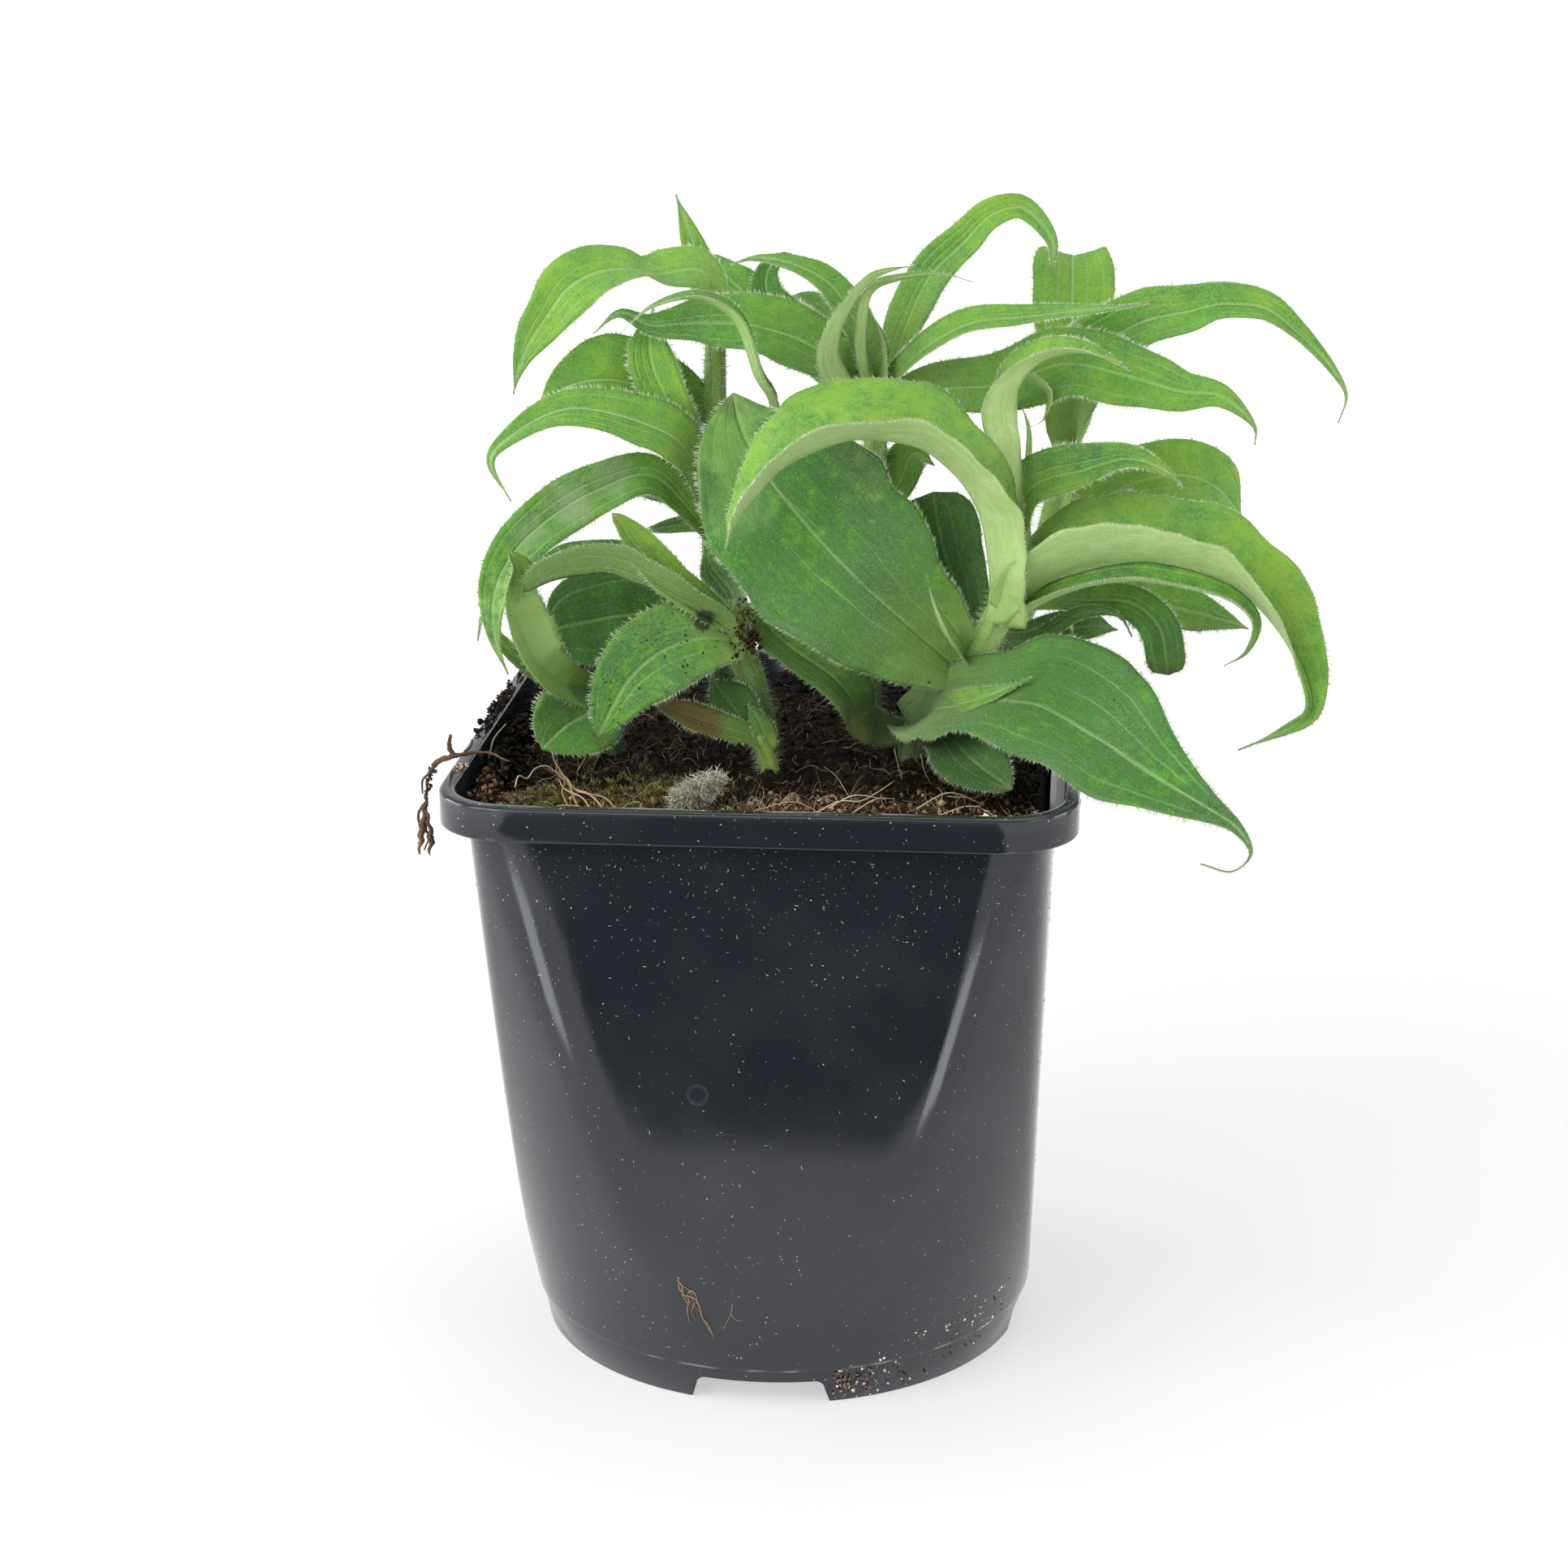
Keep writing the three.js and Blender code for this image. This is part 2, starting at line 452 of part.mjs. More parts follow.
function makePot() {

  const innerShelf = potHeight - openingDepth;
  const innerFoot = footRadius - footThickness;
  const loops = [
    circleLoop(innerFoot - 1, floorRaise, potSides),
    circleLoop(innerFoot, 0, potSides),
    circleLoop(footRadius, 0, potSides),
    circleLoop(footRadius + footLean, stepHeight - edgeRound, potSides),
    wallLoop(stepHeight, 0, potSides),
    ...wallLevels.map((z) => wallLoop(z, 0, potSides)),
    wallLoop(wallTop, 0, potSides),
    roundedSquare(rimHalfWidth - edgeRound, rimCorner, wallTop, potSides),
    roundedSquare(rimHalfWidth, rimCorner, wallTop + edgeRound, potSides),
    roundedSquare(rimHalfWidth, rimCorner, potHeight - edgeRound, potSides),
    roundedSquare(rimHalfWidth - edgeRound, rimCorner - edgeRound, potHeight, potSides),
    roundedSquare(openingHalfWidth, openingCorner, potHeight, potSides),
    roundedSquare(openingHalfWidth - openingLean, openingCorner - edgeRound, innerShelf, potSides),
    wallLoop(innerShelf - shelfDrop, wallThickness, potSides),
    ...wallLevels.toReversed().map((z) => wallLoop(z, wallThickness, potSides)),
    wallLoop(stepHeight + 1, wallThickness, potSides),
    circleLoop(innerFoot - 2, floorRaise + floorThickness, potSides),
  ];
  let pot = toSolid(loft(loops));
  const notch = new THREE.Shape();
  const half = notchWidth / 2;
  const shoulder = notchHeight - notchRound;
  notch.moveTo(-half - notchSlope, -1).lineTo(half + notchSlope, -1).lineTo(half, shoulder);
  notch.quadraticCurveTo(half, notchHeight, half - notchRound, notchHeight);
  notch.lineTo(-half + notchRound, notchHeight).quadraticCurveTo(-half, notchHeight, -half, shoulder);
  const slot = new THREE.ExtrudeGeometry(notch, { depth: 8, bevelEnabled: false, curveSegments: 3 });
  slot.rotateX(Math.PI / 2).translate(0, 4 - footRadius, 0);
  for (let quarter = 0; quarter < 4; quarter += 1) {
    pot = pot.subtract(toSolid(slot.clone().rotateZ(quarter * Math.PI / 2)));
  }
  const drain = new THREE.CylinderGeometry(drainRadius, drainRadius, 3 * floorThickness, 8);
  drain.rotateX(Math.PI / 2).translate(drainRing, 0, floorRaise + floorThickness / 2);
  for (let i = 0; i < drainHoles; i += 1) {
    pot = pot.subtract(toSolid(drain.clone().rotateZ(i / drainHoles * 2 * Math.PI)));
  }
  return fromSolid(pot);
}

// Low mounds and hollows of the peat.
function soilHeight(x, y) {
  const rolling = Math.sin(x / 7.3 + 1.1) * Math.cos(y / 6.1 - 0.6) + 0.6 * Math.sin(x / 3.1 - y / 4.3);
  return soilLevel + soilMound * rolling;
}

function makeSoil() {
  const gap = wallThickness + 1.5 * clearance;
  const edge = wallLoop(potHeight - openingDepth - soilEdgeDrop, gap, potSides);
  const onTop = (x, y) => new THREE.Vector3(x, y, soilHeight(x, y));
  const loops = [
    ...soilRings.map((share) => edge.map((p) => onTop(p.x * share, p.y * share))),
    edge,
    ...wallLevels.toReversed().map((z) => wallLoop(z, gap, potSides)),
    wallLoop(stepHeight + 1.4, gap + 0.1, potSides),
    circleLoop(footRadius - footThickness - 2.6, floorRaise + floorThickness + clearance, potSides),
  ];
  let soil = toSolid(loft(loops));
  for (const { stem } of Object.values(shoots)) {
    const [x, y, , radius] = stem[0];
    const wide = radius + stemHoleWider;
    const hole = new THREE.CylinderGeometry(wide, wide, stemHoleLength, 8).rotateX(Math.PI / 2);
    soil = soil.subtract(toSolid(hole.translate(x, y, stemFoot - clearance + stemHoleLength / 2)));
  }
  return fromSolid(soil);
}

function makeShoot({ stem, leaves }) {
  let shoot = toSolid(makeTube(stem, stem.map((p) => p[3]), 5, stemSides));
  leaves.forEach((leaf, index) => {
    shoot = shoot.add(toSolid(makeLeaf(leaf, index)));
  });
  const [whole] = shoot.decompose().sort((a, b) => b.volume() - a.volume());
  return fromSolid(whole);
}

function makeStrand() {
  const main = toSolid(makeTube(strandPath, strandRadii, 2, 6));
  const fork = toSolid(makeTube(forkPath, forkRadii, 2, 5));
  return fromSolid(main.add(fork));
}

function makeHusk() {
  const ball = new THREE.SphereGeometry(1, 10, 7).deleteAttribute('uv').deleteAttribute('normal');
  const husk = mergeVertices(ball, 1e-4);
  const positions = husk.attributes.position;
  const point = new THREE.Vector3();
  for (let i = 0; i < positions.count; i += 1) {
    point.fromBufferAttribute(positions, i);
    const bump = 1 + huskBumps * Math.sin(5 * point.x + 2) * Math.cos(4 * point.z);
    point.multiply(new THREE.Vector3(...huskRadii)).multiplyScalar(bump);
    positions.setXYZ(i, point.x, point.y, point.z);
  }
  husk.rotateY(THREE.MathUtils.degToRad(huskTilt)).translate(...huskCentre);
  return fromSolid(toSolid(husk));
}

function addPiece(parent, name, geometry, color, roughness) {
  const material = new THREE.MeshStandardMaterial({ color, roughness, metalness: 0 });
  const mesh = new THREE.Mesh(geometry, material);
  mesh.name = name;
  parent.add(mesh);
}

const plant = new THREE.Group();
addPiece(plant, 'pot', makePot(), 0x2b2e33, 0.4);
addPiece(plant, 'soil', makeSoil(), 0x33261d, 0.95);
for (const [name, shoot] of Object.entries(shoots)) {
  addPiece(plant, name, makeShoot(shoot), shoot.color, 0.55);
}
addPiece(plant, 'root_strand', makeStrand(), 0xa08560, 0.85);
addPiece(plant, 'husk', makeHusk(), 0x8d867c, 0.9);

const bounds = new THREE.Box3().setFromObject(plant, true);
const middle = bounds.getCenter(new THREE.Vector3());
plant.position.set(-middle.x, -middle.y, -bounds.min.z);
const group = new THREE.Group();
group.add(plant);

export default group;
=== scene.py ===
import math

import bmesh
import bpy
import numpy as np
from mathutils import Matrix, Vector


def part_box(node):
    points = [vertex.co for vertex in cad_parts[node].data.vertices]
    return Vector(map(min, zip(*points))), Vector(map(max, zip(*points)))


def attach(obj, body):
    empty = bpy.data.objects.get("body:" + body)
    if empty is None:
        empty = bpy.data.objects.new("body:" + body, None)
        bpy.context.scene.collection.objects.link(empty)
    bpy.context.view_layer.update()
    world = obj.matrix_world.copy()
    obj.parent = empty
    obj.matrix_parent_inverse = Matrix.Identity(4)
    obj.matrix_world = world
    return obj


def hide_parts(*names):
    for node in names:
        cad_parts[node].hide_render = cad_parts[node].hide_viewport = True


# A young toad lily in a square-round nursery pot. Shapes are set out in millimetres round the
# pot's own axis, front towards -Y, and go to metres in the frame when a mesh is made.

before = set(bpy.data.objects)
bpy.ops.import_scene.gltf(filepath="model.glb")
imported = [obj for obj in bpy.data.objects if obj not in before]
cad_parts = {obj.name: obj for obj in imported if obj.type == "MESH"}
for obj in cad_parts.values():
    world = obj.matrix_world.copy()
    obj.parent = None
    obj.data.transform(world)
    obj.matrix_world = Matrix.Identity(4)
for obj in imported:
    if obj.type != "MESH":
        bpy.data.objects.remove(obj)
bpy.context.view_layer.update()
print("frame loaded:", ", ".join(sorted(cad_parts)))

metre, fullTurn = 0.001, 2 * math.pi
potLow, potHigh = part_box("pot")
potAxis = np.array([(potLow[0] + potHigh[0]) / 2, (potLow[1] + potHigh[1]) / 2, 0.0])


# Tools for shapes and shaders. The floor, lights and camera are at the end.
def unit(v):
    return v / np.maximum(np.linalg.norm(v, axis=-1, keepdims=True), 1e-9)


def linked(name, data):
    thing = bpy.data.objects.new(name, data)
    bpy.context.scene.collection.objects.link(thing)
    return thing


class Heap:
    # gathers points, triangles and per-point values until they become one mesh
    def __init__(self):
        self.points, self.faces, self.values, self.total = [], [], {}, 0

    def add(self, points, faces, **values):
        # a value is one number for all, or one for each face, lump, hair or point
        points = np.asarray(points, float).reshape(-1, 3)
        self.points.append(points)
        self.faces.append(np.asarray(faces, int).reshape(-1, 3) + self.total)
        for name, value in values.items():
            value = np.asarray(value, float).reshape(-1)
            self.values.setdefault(name, []).append(np.repeat(value, len(points) // len(value)))
        self.total += len(points)

    def toPiece(self, name, material, slotName, node=None):
        points = np.vstack(self.points) * metre + potAxis
        faces = np.vstack(self.faces)
        mesh = bpy.data.meshes.new(name)
        mesh.vertices.add(len(points))
        mesh.vertices.foreach_set("co", points.ravel())
        mesh.loops.add(faces.size)
        mesh.loops.foreach_set("vertex_index", faces.ravel())
        mesh.polygons.add(len(faces))
        mesh.polygons.foreach_set("loop_start", np.arange(0, faces.size, 3))
        mesh.polygons.foreach_set("use_smooth", np.ones(len(faces), bool))
        mesh.update(calc_edges=True)
        for key, parts in self.values.items():
            spot = mesh.attributes.new(key, "FLOAT", "POINT")
            spot.data.foreach_set("value", np.concatenate(parts))
        mesh.materials.append(material)
        piece = linked(name, mesh)
        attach(piece, "root")
        if node:
            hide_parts(node)
        return piece


def pathOf(text):
    # "x y z, x y z" as rows of numbers
    return [[float(number) for number in spot.split()] for spot in text.split(",")]


def smoothPath(points, count):
    # centripetal spline through the points: evenly spaced samples, their directions, its length
    points = np.array(points, float)
    full = np.vstack([2 * points[0] - points[1], points, 2 * points[-1] - points[-2]])
    share = np.linspace(0, 1, 40, endpoint=False)[:, None]
    fine = []
    for a, b, c, d in zip(full, full[1:], full[2:], full[3:]):
        ab, bc, cd = (max(np.linalg.norm(q - p), 1e-6) ** 0.5 for p, q in ((a, b), (b, c), (c, d)))
        leave = ((b - a) / ab - (c - a) / (ab + bc) + (c - b) / bc) * bc
        arrive = ((c - b) / bc - (d - b) / (bc + cd) + (d - c) / cd) * bc
        fine.append(b + leave * share + (3 * (c - b) - 2 * leave - arrive) * share ** 2
                    + (2 * (b - c) + leave + arrive) * share ** 3)
    fine = np.vstack(fine + [points[-1:]])
    gone = np.r_[0, np.cumsum(np.linalg.norm(np.diff(fine, axis=0), axis=1))]
    at = np.linspace(0, gone[-1], count)
    line = np.column_stack([np.interp(at, gone, fine[:, k]) for k in range(3)])
    return line, unit(np.gradient(line, axis=0)), gone[-1]


def carryAcross(line, tangents):
    # a crosswise direction that starts level and is carried along without spinning
    total = line[-1] - line[0]
    across = np.cross([0, 0, 1.0], [total[0], total[1], 0])
    if np.linalg.norm(across) < 1e-6:
        across = np.array([1.0, 0, 0])
    carried = []
    for tangent in tangents:
        across = unit(across - tangent * across.dot(tangent))
        carried.append(across)
    return np.array(carried)


def valueAlong(values, t):
    return np.interp(t, np.linspace(0, 1, len(values)), values)


def slabFaces(rows, columns):
    # a closed skin over an upper grid of points and a lower grid of as many
    at = np.arange(rows * columns).reshape(rows, columns)
    a, b, c, d = at[:-1, :-1], at[1:, :-1], at[1:, 1:], at[:-1, 1:]
    upper = np.concatenate([np.stack(trio, -1).reshape(-1, 3) for trio in ((a, b, c), (a, c, d))])
    below = rows * columns
    edge = np.concatenate([at[:-1, 0], at[-1, :-1], at[:0:-1, -1], at[0, :0:-1]])
    ahead = np.roll(edge, -1)
    sides = [np.stack(trio, -1) for trio in ((edge, edge + below, ahead + below),
                                             (edge, ahead + below, ahead))]
    return np.concatenate([upper, upper[:, ::-1] + below, *sides])


def loftFaces(rows, sides):
    # rings of points in order, then the middle of the first ring and of the last
    ring = np.arange(sides)
    ahead = (ring + 1) % sides
    final = (rows - 1) * sides
    start = (np.arange(rows - 1) * sides)[:, None]
    a, b = start + ring, start + ahead
    skin = [np.stack([a, b, b + sides], -1), np.stack([a, b + sides, a + sides], -1)]
    low = np.stack([np.full(sides, final + sides), ahead, ring], -1)
    high = np.stack([np.full(sides, final + sides + 1), ring + final, ahead + final], -1)
    return np.concatenate([*(part.reshape(-1, 3) for part in skin), low, high])


def tube(points, radii, count, sides, wobble=0, seed=0):
    # a closed round stem or root; radii run from start to end
    line, tangents, _ = smoothPath(points, count)
    across = carryAcross(line, tangents)
    over = np.cross(tangents, across)
    radius = np.repeat(valueAlong(radii, np.linspace(0, 1, count))[:, None], sides, 1)
    if wobble:
        radius = radius * (1 + wobble * np.random.default_rng(seed).normal(size=radius.shape))
    angle = (np.arange(sides) / sides * fullTurn)[:, None]
    ring = across[:, None] * np.cos(angle) + over[:, None] * np.sin(angle)
    skin = (line[:, None] + ring * radius[..., None]).reshape(-1, 3)
    return np.vstack([skin, line[:1], line[-1:]]), loftFaces(count, sides)


def spikes(roots, directions, lengths, widths):
    # thin three-sided hairs, each closed at its root
    along = unit(directions)
    helper = np.where(np.abs(along[:, 2:]) < 0.8, [[0, 0, 1.0]], [[1.0, 0, 0]])
    a = unit(np.cross(along, helper))
    b = np.cross(along, a)
    lengths, widths = (np.broadcast_to(k, len(roots))[:, None] for k in (lengths, widths))
    ring = [roots + widths * (math.cos(k) * a + math.sin(k) * b)
            for k in (0, fullTurn / 3, fullTurn * 2 / 3)]
    points = np.stack([*ring, roots + along * lengths], 1).reshape(-1, 3)
    pattern = np.array([[0, 1, 3], [1, 2, 3], [2, 0, 3], [0, 2, 1]])
    return points, (np.arange(len(roots)) * 4)[:, None, None] + pattern


def ballOf(subdivisions):
    work = bmesh.new()
    bmesh.ops.create_icosphere(work, subdivisions=subdivisions, radius=1)
    points = np.array([v.co[:] for v in work.verts])
    faces = np.array([[v.index for v in face.verts] for face in work.faces])
    work.free()
    return points, faces


def crumbs(centres, sizes, seed, flat=0.75, rough=0.22):
    # small lumps of twenty faces, each turned and dented at random
    chance, count = np.random.default_rng(seed), len(centres)
    ball, pattern = ballOf(1)
    w, x, y, z = unit(chance.normal(size=(count, 4))).T
    rotation = np.array([[1 - 2 * (y * y + z * z), 2 * (x * y - z * w), 2 * (x * z + y * w)],
                         [2 * (x * y + z * w), 1 - 2 * (x * x + z * z), 2 * (y * z - x * w)],
                         [2 * (x * z - y * w), 2 * (y * z + x * w), 1 - 2 * (x * x + y * y)]])
    dents = 1 + rough * chance.normal(size=(count, len(ball), 1))
    shape = chance.uniform(flat, 1.25, size=(count, 1, 3))
    lumps = np.einsum("ijn,nkj->nki", rotation, ball * dents * shape)
    points = np.asarray(centres)[:, None] + lumps * np.reshape(sizes, (-1, 1, 1))
    return points, (np.arange(count) * len(ball))[:, None, None] + pattern


def waves(x, y, size, seed):
    # smooth random ups and downs about this many mm apart, between about -1 and 1
    chance = np.random.default_rng(seed)
    total = 0
    for _ in range(7):
        angle, phase = chance.uniform(0, fullTurn, 2)
        pace = fullTurn / (size * chance.uniform(0.7, 1.6))
        total = total + np.sin((x * math.cos(angle) + y * math.sin(angle)) * pace + phase)
    return total / 3.5


class Wire:
    # one socket of a shader, with arithmetic that adds Math nodes
    def __init__(self, shade, socket):
        self.shade, self.socket = shade, socket

    def math(self, operation, *others):
        return self.shade.number(operation, self, *others)

    def __add__(self, other):
        return self.math("ADD", other)

    def __sub__(self, other):
        return self.math("SUBTRACT", other)

    def __rsub__(self, other):
        return self.shade.number("SUBTRACT", other, self)

    def __mul__(self, other):
        return self.math("MULTIPLY", other)

    def __truediv__(self, other):
        return self.math("DIVIDE", other)

    def __abs__(self):
        return self.math("ABSOLUTE")

    __radd__, __rmul__ = __add__, __mul__


class Shade:
    # a material's node tree
    def __init__(self, name, **fixed):
        self.material = bpy.data.materials.new(name)
        self.material.use_nodes = True
        self.tree = self.material.node_tree
        self.surface = self.tree.nodes["Principled BSDF"]
        for key, value in fixed.items():
            self.feed(self.surface.inputs[key.replace("_", " ")], value)

    def feed(self, socket, value):
        if isinstance(value, Wire):
            self.tree.links.new(value.socket, socket)
        elif isinstance(value, tuple) and len(value) == 3 and socket.type == "RGBA":
            socket.default_value = (*value, 1)
        else:
            socket.default_value = value

    def node(self, kind, settings=None, inputs=None, output=0):
        made = self.tree.nodes.new(kind)
        for key, value in (settings or {}).items():
            if key == "stops":
                ramp = made.color_ramp
                while len(ramp.elements) < len(value):
                    ramp.elements.new(1)
                for element, (spot, colour) in zip(ramp.elements, value):
                    element.position, element.color = spot, (*colour, 1)
            else:
                setattr(made, key, value)
        for key, value in (inputs or {}).items():
            self.feed(made.inputs[key], value)
        return Wire(self, made.outputs[output])

    def number(self, operation, *values):
        return self.node("ShaderNodeMath", {"operation": operation}, dict(enumerate(values)))

    def read(self, name):
        return self.node("ShaderNodeAttribute", {"attribute_name": name}, output=2)

    def place(self):
        # the point in millimetres
        spot = self.node("ShaderNodeTexCoord", output=3)
        return self.node("ShaderNodeVectorMath", {"operation": "SCALE"}, {0: spot, 3: 1000.0})

    def join(self, x, y, z):
        return self.node("ShaderNodeCombineXYZ", None, {0: x, 1: y, 2: z})

    def apart(self, spot, place):
        # how far a point lies from a place given in the pot's millimetres
        place = tuple(p + a * 1000 for p, a in zip(place, potAxis))
        return self.node("ShaderNodeVectorMath", {"operation": "DISTANCE"}, {0: spot, 1: place}, 1)

    def split(self, vector, axis):
        return self.node("ShaderNodeSeparateXYZ", None, {0: vector}, axis)

    def noise(self, vector, scale, detail=2.0, roughness=0.5):
        return self.node("ShaderNodeTexNoise", None, {"Vector": vector, "Scale": scale,
                                                      "Detail": detail, "Roughness": roughness})

    def cells(self, vector, scale):
        return self.node("ShaderNodeTexVoronoi", None, {"Vector": vector, "Scale": scale})

    def ease(self, value, low, high):
        return self.node("ShaderNodeMapRange", {"interpolation_type": "SMOOTHSTEP"},
                         {"Value": value, "From Min": low, "From Max": high})

    def mix(self, factor, a, b, blend="MIX"):
        return self.node("ShaderNodeMix", {"data_type": "RGBA", "blend_type": blend},
                         {0: factor, 6: a, 7: b}, 2)

    def ramp(self, value, stops):
        return self.node("ShaderNodeValToRGB", {"stops": stops}, {0: value})

    def finish(self, colour, roughness, height=None, depth=0.1):
        self.feed(self.surface.inputs["Base Color"], colour)
        self.feed(self.surface.inputs["Roughness"], roughness)
        if height is not None:
            bump = self.node("ShaderNodeBump", None, {"Height": height, "Strength": 1.0,
                                                      "Distance": depth * metre})
            self.feed(self.surface.inputs["Normal"], bump)
        return self.material


print("tools ready")


def leaf(width, widest, neck, roll, fold, age, path, **more):
    # width: of the flat blade, widest: how far along that is, neck: the share of it left at
    # the stem, roll: how far the left margin is raised, fold: how far each half is lifted,
    # age: 0 a young bright leaf, 1 an old dark one, path: the midrib from stem to tip,
    # taper: how soon it narrows, dry: how withered it is, from dryFrom on, and its painted
    # shade: how far the leaf is darkened where other leaves shade it
    usual = {"taper": 1.5, "dry": 0.4, "dryFrom": 0.93, "dim": 0}
    return {**usual, "width": width, "widest": widest, "neck": neck, "roll": roll, "fold": fold,
            "age": age, "path": pathOf(path), **more}


def shoot(stem, leaves, dim=0):
    # stem: x, y, z and radius upwards; the stem can be darkened with painted shade
    return {"stem": pathOf(stem), "leaves": leaves, "dim": dim}


